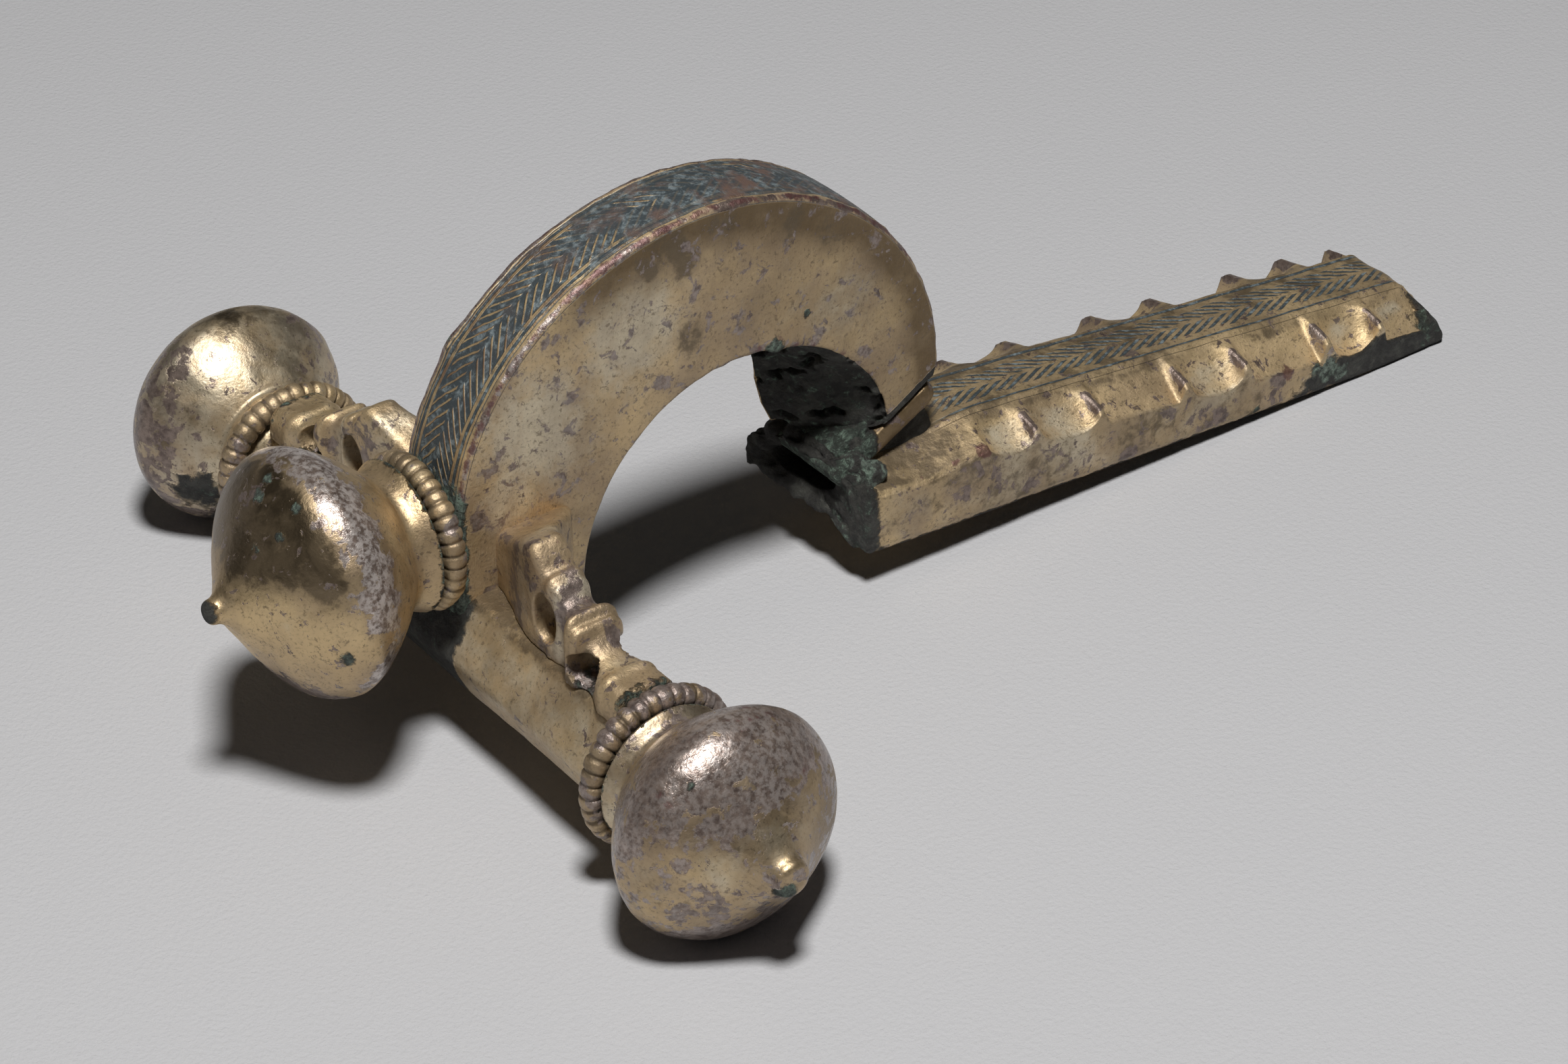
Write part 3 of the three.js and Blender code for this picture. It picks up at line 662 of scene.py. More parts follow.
def collar(name, node, outer, turn, centre, seed, bare):
    """A ring of beaded wire; bare says how much of its gilding is gone."""
    per_bead, sides = 10, 22
    steps = BEADS * per_bead
    rng = np.random.RandomState(seed)
    height = 1 + rng.uniform(-0.05, 0.03, BEADS)
    depth = rng.uniform(0.07, 0.14, BEADS)
    around = np.arange(steps) / steps * 2 * np.pi
    section = np.arange(sides) / sides * 2 * np.pi
    part = (np.arange(steps) % per_bead) / per_bead
    edge = np.minimum(part, 1 - part)
    rings = []
    for i, a in enumerate(around):
        bead = i // per_bead
        full = (COLLAR_WIRE - 0.02) * height[bead] * (1 - 0.05 * (2 * part[i] - 1) ** 2)
        wire = full - depth[bead] * ridge(edge[i], 0, 0.14)
        r = outer - COLLAR_WIRE + wire * np.cos(section)
        ring = np.stack([r * math.cos(a), wire * np.sin(section), r * math.sin(a)], 1)
        rings.append(ring @ np.array(turn).T + np.array(centre))
    obj = new_mesh(name, np.vstack(rings), grid_faces(steps, sides, True))
    p = points_of(obj)
    push(obj, 0.04 * fbm(p, 1.6, seed, 3))
    grooves = np.repeat(ridge(edge, 0, 0.16), sides)
    inward = np.tile(0.5 - 0.5 * np.cos(section), steps)
    layers(
        obj,
        stain=bare - 0.17 + 0.4 * grooves + 0.3 * inward + 0.3 * fbm(p, 2.5, seed + 4, 2),
        purple=bare + 0.3 * fbm(p, 3.0, seed + 2, 2),
        silver=0.25,
        green=0.5 * inward + 0.12 * grooves,
        pale=0.2,
    )
    return settle(obj, node, GILT)


NEAR_RING, FAR_RING = (0, -SIDE_COLLAR_Y, BAR_Z), (0, SIDE_COLLAR_Y, BAR_Z)
HEAD_RING = (HEAD_COLLAR_X, 0, HEAD_Z)
collar("near_collar", "right_collar", SIDE_COLLAR, ALONG_Y, NEAR_RING, 11, 0.6)
collar("far_collar", "left_collar", SIDE_COLLAR, ALONG_Y, FAR_RING, 12, 0.5)
collar("head_collar_beads", "head_collar", HEAD_COLLAR, ALONG_MINUS_X, HEAD_RING, 13, 0.42)


# ---- crossbar -----------------------------------------------------------------------------------
def crossbar():
    corners = [(1.4, 2.65), (3.3, -0.55), (2.0, -3.35), (-2.0, -3.35), (-3.3, -0.55), (-1.4, 2.65)]
    section = rounded(corners, [0.5, 0.7, 0.6, 0.6, 0.7, 0.5], [18, 16, 18, 16, 18, 12], 7)
    rings = [
        np.stack([section[:, 0], np.full(len(section), y), section[:, 1] + BAR_Z], 1)
        for y in np.linspace(-BAR_HALF, BAR_HALF, 150)
    ]
    obj = sweep("bar", rings)
    p = points_of(obj)
    p = push(obj, 0.09 * fbm(p, 5.0, 21, 3) + 0.02 * fbm(p, 0.9, 22, 3) - 0.05)
    front = smooth(-p[:, 0], 0.5, 2.0)
    out, z = np.abs(p[:, 1]), p[:, 2]
    layers(
        obj,
        stain=0.3 + 0.5 * smooth(z, 8.5, 9.4) + 0.25 * smooth(5.0 - out, 0, 4) * smooth(z, 5, 8),
        purple=0.38 * smooth(-z, -5.5, -3.3) + 0.2 * fbm(p, 4.0, 23, 2),
        green=0.5 * smooth(out, 16.2, 17.2) + 0.4 * smooth(3.2 - out, 0, 2.0) * front,
        crust=0.85 * smooth(4.2 - out, 0, 1.6) * front,
        pale=0.35 * front,
    )
    return settle(obj, "crossbar", GILT)


crossbar()


# ---- bow ----------------------------------------------------------------------------------------
def arch(centre, left, left_rise, right, right_rise, angle):
    is_left = angle > math.pi / 2
    reach, rise = (left, left_rise) if is_left else (right, right_rise)
    return np.array([centre[0] + reach * math.cos(angle), centre[1] - rise * (1 - math.sin(angle))])


BOW_NUBS = [(19.0, -2.9, 17.5, 0.55, 1.0), (15.6, -2.9, 17.4, 0.4, 0.5), (1.6, 2.5, 21.5, 0.9, 0.9)]
BOW_STAINS = on_side(-2.8, [
    (10.7, 25.6, 1.3, 0.9), (12.9, 25.6, 1.5, 0.95), (13.4, 20.6, 1.3, 0.75), (12.3, 26.6, 2.2, 0.9),
    (15.5, 26.6, 1.6, 0.8), (20.2, 25.2, 1.5, 0.7), (22.6, 23.6, 1.6, 0.6), (10.3, 24.4, 1.0, 0.5),
])
BOW_BARE = on_side(-2.8, [
    (5.5, 19.5, 1.0, 0.78), (8.1, 21.0, 0.8, 0.66), (11.3, 18.4, 1.2, 0.7), (4.3, 22.7, 0.6, 0.7),
    (0.2, 17.1, 1.2, 0.7), (-0.5, 14.3, 1.2, 0.66), (17.0, 23.8, 1.0, 0.6), (22.1, 21.1, 1.2, 0.62),
    (26.0, 18.0, 1.6, 0.5), (3.0, 12.5, 2.0, 0.6),
])
BOW_PALE = on_side(-2.8, [
    (3.0, 18.2, 3.2), (9.3, 22.4, 2.8), (24.0, 19.0, 2.5, 0.4), (1.2, 14.8, 1.6),
])
BOW_GREEN = [
    (1.6, 2.6, 21.6, 1.0), (19.0, -2.9, 17.6, 0.8), (15.6, -2.9, 17.3, 0.5), (21.2, -2.8, 19.1, 0.35),
]
BREAK_RED = [(24.4, -1.8, 14.2, 0.9), (25.4, -1.6, 12.6, 0.6)]
BREAK_EDGE = on_side(-2.9, [
    (17.7, 18.0, 0.7), (19.1, 17.9, 0.7), (20.4, 17.4, 0.6), (21.6, 16.9, 0.6), (23.7, 15.5, 0.5),
    (25.6, 13.3, 0.5),
])
CRACK = 1.3  # how far above the middle of the band the bow's end stops


def bow():
    """The arch, its near corner lost on the way down to the foot, swept along its own curve."""
    stations = []
    leg_outer = arch(APEX, *OUTER, math.pi)[0]
    leg_inner = arch(ARCH, *INNER, math.pi)[0]
    for z in np.linspace(LEG_BOTTOM, arch(ARCH, *INNER, math.pi)[1], 14)[:-1]:
        top = lerp(LEG_BOTTOM, arch(APEX, *OUTER, math.pi)[1], (z - LEG_BOTTOM) / (6.8 - LEG_BOTTOM))
        stations.append((np.array([leg_outer, top]), np.array([leg_inner, z]), np.array([leg_inner, z])))
    for angle in np.linspace(math.pi, 0, 330):
        inner = arch(ARCH, *INNER, angle)
        loss = arch(ARCH, INNER[0], INNER[1], *LOSS, angle)
        stations.append((arch(APEX, *OUTER, angle), inner, loss))
    last = arch(APEX, *OUTER, 0)
    ends = [
        stations[-1],
        (last + [-0.3, -1.1], np.array([22.1, 9.9]), np.array([27.2, 8.75])),
        (last + [-1.0, -2.0], np.array([22.8, 8.4]), np.array([27.3, 8.6])),
    ]
    for a, b in zip(ends, ends[1:]):
        for t in np.linspace(0, 1, 11)[1:]:
            stations.append(tuple(lerp(a[i], b[i], t) for i in range(3)))

    rings, travelled, u_values, v_values, depths, part = [], 0.0, [], [], [], []
    before = stations[0][0]
    for outer, far, near in stations:
        travelled += float(np.linalg.norm(outer - before))
        before = outer
        depth_far, depth_near = np.linalg.norm(far - outer), np.linalg.norm(near - outer)
        corners = [(-BOW_HALF, 0), (BOW_HALF, 0), (BOW_UNDER, depth_far), (-BOW_UNDER, depth_near)]
        section = rounded(corners, [0.5, 0.5, 0.35, 0.35], [40, 24, 44, 30], 8)
        y, d = section[:, 0], section[:, 1]
        d = d - 0.12 * (1 - (y / BOW_HALF) ** 2) * (d < 0.3)
        weight = ((y + BOW_UNDER) / (2 * BOW_UNDER))[:, None]
        direction = lerp((near - outer) / depth_near, (far - outer) / depth_far, weight)
        direction = direction / np.linalg.norm(direction, axis=1)[:, None]
        xz = outer + direction * d[:, None]
        rings.append(np.stack([xz[:, 0], y, xz[:, 1]], 1))
        u_values.append(np.full(len(y), travelled))
        v_values.append(np.where(d < 0.32, y, 9.0))
        depths.append(d)
        part.append(np.where((np.arange(len(y)) >= 86) & (np.arange(len(y)) < 136), 1.0, 0.0))
    obj = sweep("bow", rings)
    pad = lambda values: np.concatenate([np.concatenate(values), [0.0, 0.0]])
    u, v, depth, under = pad(u_values), pad(v_values), pad(depths), pad(part)

    p = points_of(obj)
    off_middle = np.abs(v)
    leg = under * smooth(p[:, 0], 18.0, 20.0)
    dents = 0.05 * fbm(p, 5.0, 31, 3) + 0.018 * fbm(p, 1.0, 32, 3)
    dents = dents + 0.10 * ridge(off_middle, 2.35, 0.4) * fbm(p, 0.9, 33, 3)
    stretched = p * np.array([1.25, 0.42, 1.5])
    pits = smooth(fbm(stretched, 1.1, 34, 3), 0.12, 0.5)
    dents = dents - leg * (0.75 * pits - 0.35 * fbm(p, 2.4, 35, 3) - 0.12 * fbm(p, 0.7, 36, 3))
    dents = dents + (1 - leg) * under * 0.10 * fbm(p, 1.2, 37, 3)
    dents = dents - 0.05 * (ridge(off_middle, 2.1, 0.10) + 0.6 * ridge(off_middle, 1.62, 0.10))
    p = push(obj, dents + 0.28 * blobs(p, BOW_NUBS))

    # The end is broken off level, a hair's breadth above the band.
    at_foot = p[:, 0] > 22.0
    normal = np.array([-math.sin(NECK_TILT), 0.0, math.cos(NECK_TILT)])
    above = (p - np.array([NECK_X, 0.0, NECK_Z])) @ normal
    short = np.where(at_foot, np.clip(CRACK + 0.05 * noise(p, 0.9, 64) - above, 0, None), 0)
    set_points(obj, p + short[:, None] * normal)

    p = points_of(obj)
    x, y, z = p.T
    on_top, on_wall = off_middle < 5, v > 5
    broken = (1 - smooth(above, CRACK + 0.25, CRACK + 0.65)) * at_foot
    side = smooth(-y, 2.2, 2.6) * on_wall
    rim = ridge(off_middle, 2.5, 0.3) * (v < 5)
    grime = 0.22 + 0.2 * fbm(p, 3.0, 39, 3)
    shaded = 1.25 * ridge(depth, 0, 2.1) * smooth(x, 3.0, 9.0) * (1 + 0.4 * fbm(p, 2.6, 65, 3))
    shaded = shaded + 0.26 * smooth(x, 13.0, 20.0) + 0.16 * smooth(-z, -16.0, -12.0)
    shaded = shaded + 0.14 * fbm(p, 3.4, 66, 3)
    break_edge = blobs(p, BREAK_EDGE)
    worn_rim = 0.3 * rim * smooth(u, 17, 24) + 0.22 * (off_middle < 2.3) * smooth(u, 18, 28)
    layers(
        obj,
        u=u,
        v=v,
        panel=on_top * smooth(u, 0.5, 2.0) * smooth(-x, -30.7, -29.5),
        pale=side * (0.95 * blobs(p, BOW_PALE) + 0.1),
        stain=most(blobs(p, BOW_STAINS) * side, 0.5 * rim * smooth(u, 12, 20), side * grime),
        purple=most(
            blobs(p, BOW_BARE) * side,
            (0.72 + 0.3 * (v > 0)) * rim,
            0.7 * break_edge,
            side * (0.40 + 0.24 * fbm(p, 3.0, 40, 3)),
        ),
        # Painted highlights: silvery glints along the rim towards the crossbar, over the rim's real
        # purple-red. On the side the flecks are silvery patina.
        silver=most(0.6 * rim * smooth(-x, -16.0, -8.0), 0.25 * side),
        brown=side * np.clip(shaded, 0, 0.9),
        red=most(
            0.6 * rim * (1 + 0.3 * fbm(p, 3.0, 38, 2)),
            0.6 * break_edge,
            worn_rim,
            0.75 * blobs(p, BREAK_RED),
        ),
        green=most(
            0.95 * blobs(p, BOW_GREEN),
            0.8 * smooth(-x, 0.9, 1.9) * smooth(-z, -17.5, -15.5),
            0.45 * leg * smooth(-z, -10.5, -9.0),
            0.42 * under,
        ),
        crust=most(0.95 * leg, 0.55 * under, 0.9 * broken),
    )
    return settle(obj, "bow_and_foot", BOW_GILT)


bow()


# ---- crests with their openings -----------------------------------------------------------------
RIBS = [(9.75, 0.25, 0.2), (10.35, 0.25, 0.1), (12.0, 0.26, 0.26), (12.7, 0.24, 0.26), (15.3, 0.3, 0.14)]
OPENINGS = [(9.4, 11.65, 1.0, 1.5), (13.3, 10.5, 1.2, 0.98)]  # middle along the bar and up, half sizes
CREST_START, CREST_TOP = 1.5, 15.7


def rib_height(y):
    return sum(h * max(0.0, math.cos(min(1, abs(y - c) / (w * 1.4)) * math.pi / 2)) for c, w, h in RIBS)


def crest_section(y):
    """The crest across the bar at a distance y from its middle: level ribs, dipping beside the bow."""
    near_bow = 1 - float(smooth(y, 2.2, 8.6))
    saddle = 0.35 * ridge(y, 11.1, 0.6) + 0.12 * ridge(y, 14.0, 0.9)
    half = 1.15 + 0.75 * float(smooth(y, 12.8, 15.8)) + 0.5 * ridge(y, 12.35, 0.65)
    half = half + 0.5 * rib_height(y) - 0.4 * saddle
    front = -half + 1.5 * near_bow
    back = half + 4.2 * near_bow**1.3
    fall = 2.9 * near_bow + 1.5 * float(smooth(y, 8.0, 9.6)) + 2.9 * float(smooth(y, 9.4, 15.3))
    top = CREST_TOP - fall + rib_height(y) - saddle
    r = 0.75 + 0.55 * float(smooth(y, 10, 16))
    base = CREST_BASE - 0.1
    corners = [(front, base), (back, base), (back, top), (front, top)]
    return rounded(corners, [0.2, 0.2, r, r], [14, 24, 12, 24], 9)


def opening_tool(y, z, half_y, half_z):
    """A round bar through the crest, a little wider towards its ends."""
    turn = np.linspace(0, 2 * np.pi, 40, endpoint=False)
    rings = []
    for x in np.linspace(-5, 5, 21):
        flare = 1 + 0.05 * abs(x)
        across, up = y + half_y * flare * np.cos(turn), z + half_z * flare * np.sin(turn)
        rings.append(np.stack([np.full(len(turn), x), across, up], 1))
    return sweep("opening_tool", rings)


def crest(name, side, seed):
    rings = []
    for y in np.linspace(CREST_START, BAR_HALF, 150):
        section = crest_section(y)
        rings.append(np.stack([section[:, 0], np.full(len(section), side * y), section[:, 1]], 1))
    obj = sweep(name, rings)
    for y, z, half_y, half_z in OPENINGS:
        tool = opening_tool(side * y, z, side * half_y, half_z)
        cut = obj.modifiers.new("opening", "BOOLEAN")
        cut.operation, cut.object, cut.solver = "DIFFERENCE", tool, "EXACT"
        applied(obj)
        bpy.data.objects.remove(tool)
    reskin(obj, 0.000115, 2)

    p = points_of(obj)
    p = push(obj, 0.07 * fbm(p, 1.8, seed, 3) + 0.03 * fbm(p, 0.6, seed + 1, 3))
    y, z = np.abs(p[:, 1]), p[:, 2]
    openings = blobs(p * np.array([0.15, 1, 1]), [(0, side * 9.5, 11.6, 1.5), (0, side * 13.3, 10.1, 1.35)])
    grooves = ridge(y, 11.3, 0.35) + ridge(y, 13.3, 0.4)
    bare = 0.2 * ridge(y, 11.4, 0.5) + 0.25 * ridge(y, 13.4, 0.4)
    ends = 0.5 * smooth(y, 16.0, 16.9) + 0.25 * smooth(3.6 - y, 0, 1)
    layers(
        obj,
        pale=0.8 * ridge(y, 10.7, 0.8) + 0.45 * ridge(y, 6.8, 1.2) + 0.3 * ridge(y, 14.8, 0.8),
        stain=0.62 * openings + 0.45 * smooth(-z, -10.2, -9.5) + 0.4 * grooves,
        purple=0.42 + 0.3 * fbm(p, 2.5, seed + 2, 2) + bare,
        silver=0.6 * openings,
        green=0.66 * openings * smooth(-z, -11.8, -9.7) + ends,
        red=0.3 + 0.2 * fbm(p, 1.2, seed + 3, 2),
    )
    return settle(obj, "bow_and_foot", GILT)


def reskin(obj, size, passes):
    """One even skin over the whole object, made of squares of that size in metres, then softened."""
    remesh = obj.modifiers.new("skin", "REMESH")
    remesh.mode, remesh.voxel_size = "VOXEL", size
    soften = obj.modifiers.new("soften", "SMOOTH")
    soften.factor, soften.iterations = 0.5, passes
    applied(obj)


def applied(obj):
    """Turns the object's modifiers into its own mesh."""
    graph = bpy.context.evaluated_depsgraph_get()
    mesh = bpy.data.meshes.new_from_object(obj.evaluated_get(graph))
    obj.modifiers.clear()
    old, obj.data = obj.data, mesh
    bpy.data.meshes.remove(old)
    mesh.polygons.foreach_set("use_smooth", [True] * len(mesh.polygons))


crest("near_crest", -1, 41)
crest("far_crest", 1, 45)


# ---- foot ---------------------------------------------------------------------------------------
def along_foot(x):
    return (x - FOOT_X0) / (FOOT_X1 - FOOT_X0)


def sole(x):
    return max(0.0, LIFT * (REST_X - x) / (REST_X - FOOT_X0))


def foot_top(x, y):
    """Height of the foot's upper side: nielloed panel, then scoops and facets between pairs of teeth."""
    t = along_foot(x)
    panel, teeth, edge = (lerp(*pair, t) for pair in (PANEL_Z, TEETH_Z, EDGE_Z))
    drop = 1.0 - float(smooth(x, 27.5, 34.5))
    panel, teeth = panel - drop, teeth - drop
    out = np.clip((np.abs(y) - PANEL_HALF) / (FOOT_HALF - PANEL_HALF), 0, 1)
    height = lerp(panel, teeth, out)
    gaps = [(TEETH[0] - 3.9, TEETH[0], True)]
    gaps += [(a, b, i % 2 == 0) for i, (a, b) in enumerate(zip(TEETH, TEETH[1:]))]
    depth = (teeth - edge) + 0.25
    cut = np.zeros_like(y)
    for low, high, scoop in gaps:
        middle, half = (low + high) / 2, (high - low) / 2 - 0.2
        place = abs(x - middle) / half
        if place >= 1:
            continue
        if scoop:
            shape = math.sqrt(1 - place**2.2)
            reach = smooth(out, 0.02 + 0.35 * place**3, 0.75)
            cut = np.maximum(cut, depth * 1.12 * shape * (0.25 * out + 0.75 * reach))
        else:
            shape = min(1.0, (1 - place) * 7.0) ** 0.6
            reach = smooth(out, 0.0, 1.0) * 0.35 + out * 0.65
            cut = np.maximum(cut, depth * 0.95 * shape * reach)
    height = height - cut - 0.22 * smooth(out, 0.86, 1.0) * (cut < 0.1)
    crown = 0.06 * (1 - np.clip(np.abs(y) / PANEL_HALF, 0, 1) ** 2)
    rim = 0.07 * np.exp(-(((np.abs(y) - PANEL_HALF + 0.05) / 0.16) ** 2))
    fall = 1.9 * float(smooth(x, FOOT_X1 - 2.3, FOOT_X1)) + 0.5 * float(smooth(x, FOOT_X1 - 0.7, FOOT_X1))
    return height + crown + rim - fall * (0.75 + 0.25 * np.abs(y) / FOOT_HALF)


SCOOPS = (34.9, 39.2, 50.8, 62.0, 66.4)  # middles of the hollows between teeth
FOOT_BARE = on_side(-4.9, [
    (50.3, 1.9, 2.0, 0.65), (44.2, 1.6, 1.8, 0.7), (36.4, 3.1, 1.6, 0.6), (30.8, 4.4, 1.8, 0.62),
    (55.5, 1.8, 1.6, 0.8), (42.5, 3.5, 0.9, 0.55),
])
FOOT_RED = [
    (32.8, -4.8, 6.5, 0.7, 0.9), (30.7, -4.8, 6.6, 0.7, 0.7), (28.6, -4.8, 6.6, 0.9, 0.6),
    (56.5, -4.8, 2.7, 0.9, 0.7), (54.0, -4.8, 3.2, 0.6, 0.55), (24.6, -4.9, 4.5, 0.5, 0.7),
]
FOOT_GREEN = [
    (60.0, -4.9, 1.7, 1.15, 0.9), (58.7, -4.9, 2.1, 0.75, 0.85), (61.0, -4.9, 1.3, 0.8, 0.8),
    (53.9, -4.9, 1.0, 0.7, 0.6), (68.5, -4.0, 1.4, 1.6, 0.75), (28.3, -4.2, 6.9, 0.7, 0.5),
]


def foot():
    """One skin: out of the blind end of the pin's tunnel, round its open mouth and along the foot."""
    across = np.linspace(FOOT_HALF, -FOOT_HALF, 104)
    deep = np.linspace(0, 1, 17)[1:-1]

    def ring(x, skew=0.0, squeeze=0.0):
        base = sole(x)
        half = FOOT_HALF - squeeze
        y_top = across * (half / FOOT_HALF)
        z_top = foot_top(x, across)
        lost = 1 - float(smooth(x, FOOT_X0 + 0.5, FOOT_X0 + 4.8))
        low_far, low_near = base + 2.1 * lost + 0.02, base + 0.02
        far = np.stack([np.full(15, half), lerp(low_far + 0.25, z_top[0], deep)], 1)
        near = np.stack([np.full(15, -half), lerp(z_top[-1], low_near + 0.25, deep)], 1)
        y_low = np.linspace(-half + 0.22, half - 0.22, 60)
        hollow = 1 - float(smooth(x, 30, REST_X - 2))
        channel = (0.15 + 1.35 * hollow) * smooth(4.0 - np.abs(y_low - 0.2), 0.0, 0.7) * (x < REST_X - 1)
        side_lift = 2.1 * lost * smooth(y_low, 2.6, 4.0)
        z_low = base + 0.02 + np.maximum(channel * (1 + 0.15 * y_low / half), side_lift)
        z_low = np.minimum(z_low, z_top.min() - 0.6)
        top = np.stack([y_top, z_top], 1)
        low = np.stack([y_low, z_low], 1)
        section = np.vstack([top, near, low, far])
        return np.stack([x + skew * section[:, 0], section[:, 0], section[:, 1]], 1)

    first = ring(FOOT_X0, FOOT_SKEW)
    middle_y, middle_z = 0.8, 6.0
    angle = np.arctan2((first[:, 2] - middle_z) / 1.5, (first[:, 1] - middle_y) / 4.0)

    def tunnel(x, size=1.0):
        t = along_foot(x)
        z = lerp(6.0, 2.9, t)
        high = lerp(1.15, 0.55, max(0.0, t)) * size
        return np.stack([
            x + FOOT_SKEW * 2.7 * size * np.cos(angle) * max(0.0, 1 - (x - FOOT_X0) / 4),
            middle_y + 2.7 * size * np.cos(angle),
            z + high * np.sin(angle),
        ], 1)

    rings = [tunnel(x, min(1.0, 0.02 + (44 - x) * 0.8)) for x in np.linspace(44, FOOT_X0 + 0.3, 40)]
    mouth = rings[-1]
    for t in np.linspace(0, 1, 12)[1:-1]:
        step = lerp(mouth, first, t)
        step[:, 0] -= 0.25 * math.sin(math.pi * t)
        rings.append(step)
    inside = len(rings)
    xs = np.concatenate([np.linspace(FOOT_X0, 33, 70), np.linspace(33.1, FOOT_X1 - 0.25, 330)])
    for x in xs:
        blend = 1 - float(smooth(x, FOOT_X0, FOOT_X0 + 5))
        rings.append(ring(x, FOOT_SKEW * blend, 0.35 * float(smooth(x, FOOT_X1 - 0.8, FOOT_X1)) ** 2))
    final = ring(FOOT_X1 - 0.25, 0, 0.5)
    centre = final.mean(0)
    for t in (0.92, 0.75, 0.5, 0.2):
        cap = centre + (final - centre) * t
        cap[:, 0] = FOOT_X1 - 0.25 * t**3
        rings.append(cap)
    obj = sweep("foot", rings)
    count = len(rings[0])
    p = points_of(obj)
    row = np.concatenate([np.repeat(np.arange(len(rings)), count), [0, len(rings) - 1]])
    open_end = 1 - smooth(np.abs(row - inside + 4), 6, 16)
    inner = row < inside - 10
    on_table = smooth(p[:, 2], 0.05, 0.6)
    dents = 0.05 * fbm(p, 4.0, 51, 3) + 0.02 * fbm(p, 0.9, 52, 3)
    sole_z = np.array([sole(x) for x in p[:, 0]])
    wear = smooth(p[:, 2] - sole_z, 0.2, 1.0)
    dents = dents + wear * 0.03 * fbm(p, 0.6, 53, 2)
    dents = dents * on_table + open_end * (0.42 * fbm(p, 1.5, 54, 3) + 0.14 * fbm(p, 0.5, 55, 2))
    tail = smooth(p[:, 0], 66.0, 69.5) * on_table
    dents = dents + tail * 0.16 * fbm(p, 1.3, 56, 3)
    dents = np.where(inner, 0.12 * fbm(p, 0.9, 57, 3), dents)
    p = push(obj, dents)
    x, y, z = p.T
    sole_z = np.array([sole(a) for a in x])
    near_wall = smooth(-y, 4.5, 4.85)
    scoops = sum(ridge(x, c, 1.5) for c in SCOOPS)
    # Painted shade: a dark mark on the slope just before each tooth, laid below into the stain and purple
    # layers in the colours of the patina.
    shade = sum(ridge(x, c - 0.12, 0.42) for c in TEETH)
    edge_part = smooth(np.abs(y), 2.6, 3.4)
    start = smooth(-x, -34.0, -31.0) * smooth(z, 4.5, 6.0) * (1 - near_wall)
    on_panel = (np.abs(y) < 2.4) & (z > 2.6) & ~inner
    end_wall = smooth(x, 53.5, 60.0) * smooth(-y, 4.5, 4.8) * smooth(2.0 - z + 0.12 * (x - 58), -0.6, 0.6)
    layers(
        obj,
        u=x,
        v=np.where(on_panel, y, 9.0),
        panel=smooth(x, 30.5, 33.5) * smooth(-x, -68.6, -67.5) * (np.abs(y) < 2.4),
        pale=0.55 * scoops * edge_part * smooth(z, 2.0, 3.0) + 0.25 * near_wall,
        stain=most(
            (1 - edge_part) * (0.48 + 0.3 * fbm(p, 3.0, 58, 2) + 0.16 * smooth(y, -0.5, 1.5)),
            0.72 * start,
            # Painted shade at the teeth.
            0.35 * shade * edge_part * (1 - near_wall),
            near_wall * (0.42 + 0.34 * fbm(p, 3.5, 59, 2)),
        ),
        silver=0.8 * blobs(p, [(60.0, -4.9, 1.6, 2.2)]),
        purple=most(
            # Painted shade at the teeth, in the purple of the patina.
            0.78 * shade * edge_part**2 * (1 - near_wall),
            near_wall * blobs(p, FOOT_BARE),
            0.35 * near_wall,
        ),
        red=blobs(p, FOOT_RED),
        green=most(blobs(p, FOOT_GREEN), 0.46 * open_end * (1 - 0.4 * smooth(y, -2.5, -0.5))),
        crust=most(
            0.72 * end_wall,
            0.8 * smooth(x, 66.8, 69.0) * smooth(-y, 0.5, 4.0),
            0.8 * open_end,
            inner * 1.0,
            0.6 * smooth(sole_z - z, -0.35, 0.0),
        ),
    )
    return settle(obj, "bow_and_foot", FOOT_GILT)


foot()


# ---- neck, band and the corrosion round them ----------------------------------------------------
def tilted(points):
    c, s = math.cos(NECK_TILT), math.sin(NECK_TILT)
    p = np.array(points, float)
    return np.stack([NECK_X + c * p[:, 0] - s * p[:, 2], p[:, 1], NECK_Z + s * p[:, 0] + c * p[:, 2]], 1)


def neck_piece(name, half_x, half_y, low, high, node, seed, dark):
    """A block with rounded edges round the tilted axis of the neck; dark says how crusted it is."""
    corners = [(-half_x, -half_y), (half_x, -half_y), (half_x, half_y), (-half_x, half_y)]
    outline = rounded(corners, [0.3, 1.0, 1.0, 0.3], [34, 26, 34, 26], 9)
    rings = []
    for t in np.linspace(0, 1, 26):
        inset = 0.28 * (1 - math.sqrt(max(0.0, 1 - abs(2 * t - 1) ** 3)))
        x, y = outline[:, 0] * (1 - inset / half_x), outline[:, 1] * (1 - inset / half_y)
        rings.append(tilted(np.stack([x, y, np.full(len(outline), lerp(low, high, t))], 1)))
    obj = sweep(name, rings)
    p = points_of(obj)
    p = push(obj, 0.07 * fbm(p, 1.4, seed, 3) + 0.03 * fbm(p, 0.5, seed + 1, 2))
    left = smooth(-p[:, 0], -26.9, -25.9)
    layers(
        obj,
        stain=0.35 + 0.2 * fbm(p, 2.0, seed, 2),
        brown=0.75 + 0.3 * fbm(p, 1.6, seed + 4, 2),
        purple=0.4 + 0.2 * fbm(p, 1.5, seed + 3, 2),
        green=0.55 * left + 0.15,
        crust=np.maximum(left, dark),
    )
    return settle(obj, node, GILT)


neck_piece("neck", 3.2, 2.2, -3.2, 1.6, "bow_and_foot", 61, 0.8)
neck_piece("band", 4.05, 2.85, -0.25, 1.05, "junction_band", 63, 0.0)

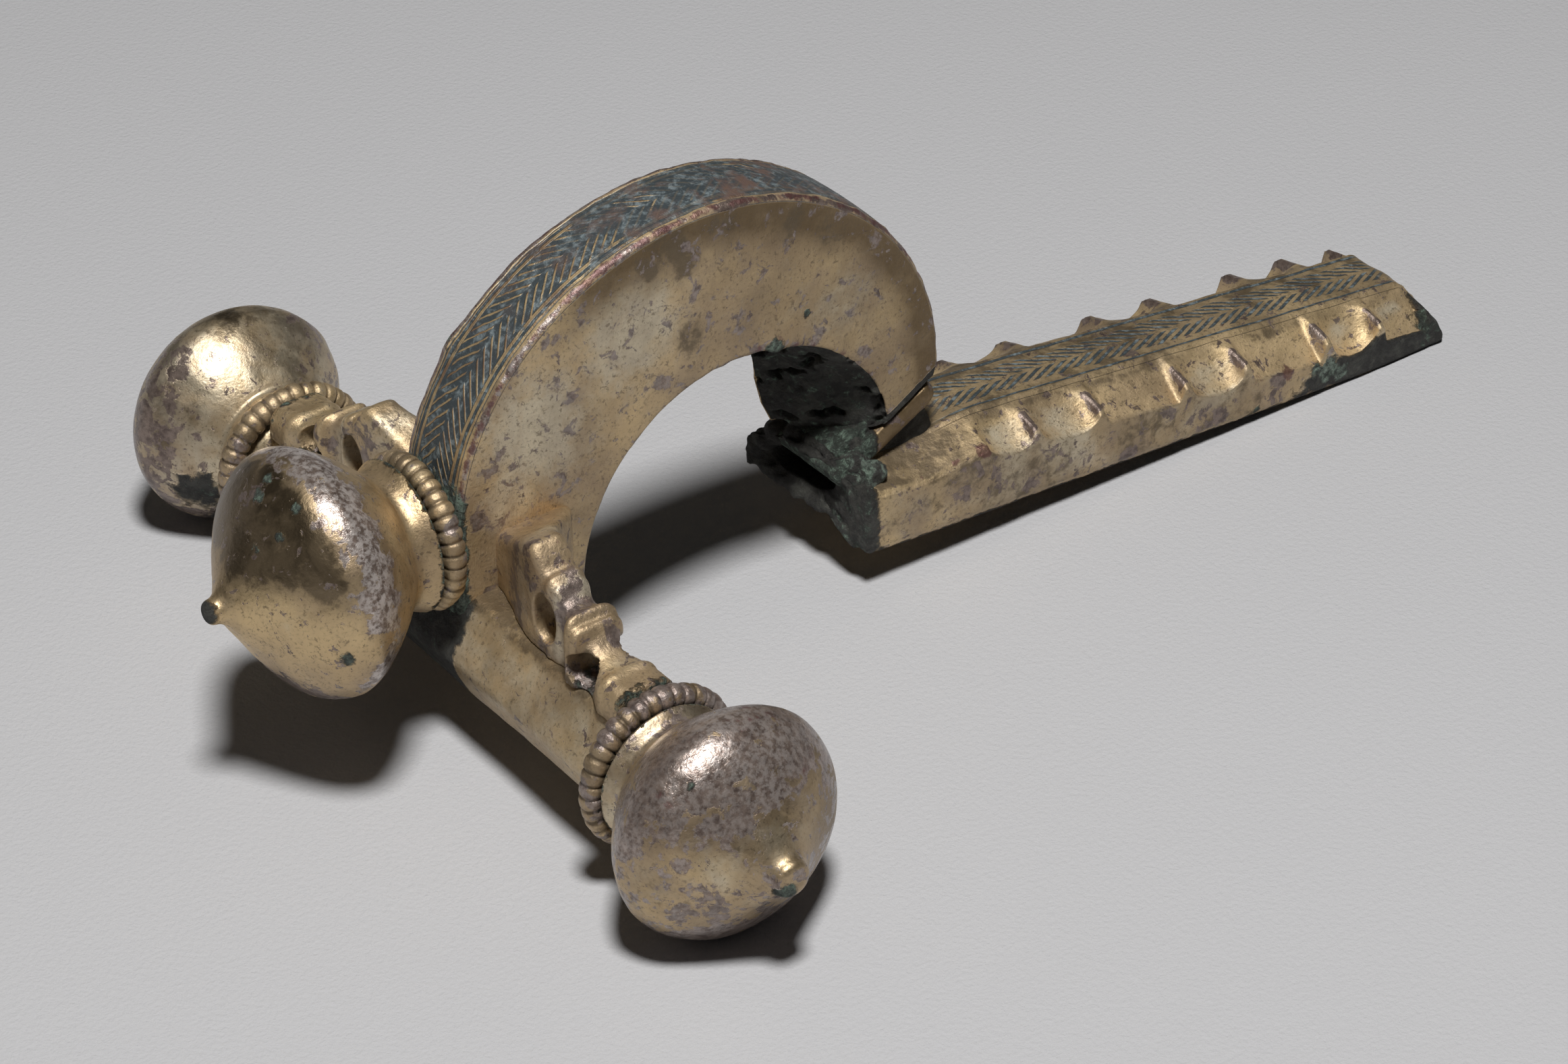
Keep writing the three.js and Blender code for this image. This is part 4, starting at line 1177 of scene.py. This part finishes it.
CRUMBS = [
    (25.0, -3.4, 6.4, 1.0), (25.5, -3.6, 7.2, 0.8), (24.9, -4.0, 5.2, 0.8), (24.7, -4.3, 4.0, 0.6),
    (25.0, -2.6, 7.3, 0.9), (24.3, 0.2, 7.6, 0.9), (24.2, 1.8, 7.5, 0.9), (23.9, 3.2, 7.0, 1.0),
    (23.7, 4.0, 6.2, 0.9), (24.6, -1.2, 7.7, 0.9), (25.4, -1.8, 8.2, 0.8),
]


def crumbs():
    """Lumps of corrosion that fill the break between the band, the neck and the foot's open end."""
    rng = np.random.RandomState(5)
    rings, count = 18, 28
    lift, turn = math.pi * (np.arange(rings) + 0.5) / rings, 2 * math.pi * np.arange(count) / count
    lift, turn = np.repeat(lift, count), np.tile(turn, rings)
    ball = np.stack([np.sin(lift) * np.cos(turn), np.sin(lift) * np.sin(turn), np.cos(lift)], 1)
    poles = [list(range(count))[::-1], list(range((rings - 1) * count, rings * count))]
    skin = grid_faces(rings, count) + poles
    points, faces = [], []
    for x, y, z, r in CRUMBS:
        start = len(points) * len(ball)
        points.append(np.array([x, y, z]) + ball * rng.uniform(0.75, 1.15, 3) * r)
        faces += [[start + corner for corner in face] for face in skin]
    obj = new_mesh("break_corrosion", np.vstack(points), faces)
    reskin(obj, 0.00011, 6)
    p = points_of(obj)
    p = push(obj, 0.28 * fbm(p, 1.1, 71, 4) + 0.08 * fbm(p, 0.4, 72, 2))
    near = smooth(-p[:, 1], 1.5, 3.0)
    layers(obj, green=0.24 + 0.32 * near, silver=0.5 * near, crust=1.0)
    return settle(obj, "bow_and_foot", GILT)


crumbs()


# ---- table, light and camera --------------------------------------------------------------------
def paper():
    bpy.ops.mesh.primitive_plane_add(size=3.0, location=(0, 0, 0))
    floor = bpy.context.object
    floor.name = "paper"
    n = Nodes("pale_paper")
    fibre = n.noise(1.4, 6.0, 0.6)
    cloud = n.noise(0.02, 3.0, 0.5)
    color = n.mix(n.add(n.mul(fibre, 0.5), n.mul(cloud, 0.5)), (0.575, 0.575, 0.59), (0.615, 0.615, 0.63))
    height = n.mul(n.noise(3.0, 8.0, 0.65), 0.2)
    floor.data.materials.append(n.finish(color, 0.9, 0.0, height, 0.0006))
    floor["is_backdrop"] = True


def soft_light(name, position, target, size, power, color):
    data = bpy.data.lights.new(name, "AREA")
    data.shape, data.size, data.energy, data.color = "DISK", size, power, color
    light = bpy.data.objects.new(name, data)
    bpy.context.scene.collection.objects.link(light)
    light.location = position
    light.rotation_euler = (Vector(target) - Vector(position)).to_track_quat("-Z", "Y").to_euler()


def camera():
    data = bpy.data.cameras.new("camera")
    data.lens, data.sensor_width, data.sensor_fit = 108.62, 36.0, "HORIZONTAL"
    data.clip_start, data.clip_end = 0.01, 10.0
    data.dof.use_dof = False
    cam = bpy.data.objects.new("camera", data)
    bpy.context.scene.collection.objects.link(cam)
    azimuth, elevation, roll, pitch = (math.radians(a) for a in (-37.958, 33.768, 1.862, 1.51))
    level = math.cos(elevation)
    back = Vector((math.sin(azimuth) * level, -math.cos(azimuth) * level, math.sin(elevation)))
    right = (-back).cross(Vector((0, 0, 1))).normalized()
    up = right.cross(-back)
    turned_right = math.cos(roll) * right + math.sin(roll) * up
    turned_up = -math.sin(roll) * right + math.cos(roll) * up
    lie = Matrix.Rotation(pitch, 3, "Y")
    axes = Matrix([lie @ turned_right, lie @ turned_up, lie @ back]).transposed().to_4x4()
    place = Vector((-113.79 + SHIFT, -179.09, 158.03)) / 1000
    cam.matrix_world = Matrix.Translation(place) @ axes
    bpy.context.scene.camera = cam


paper()
soft_light("overhead", (-0.094, -0.132, 0.44), (-0.01, 0, 0), 0.08, 2.1, (1.0, 0.99, 0.975))
world = bpy.data.worlds.new("room")
bpy.context.scene.world = world
world.use_nodes = True
world.node_tree.nodes["Background"].inputs["Color"].default_value = (0.9, 0.95, 1.0, 1.0)
world.node_tree.nodes["Background"].inputs["Strength"].default_value = 0.02
bpy.context.scene.view_settings.view_transform = "Standard"
camera()
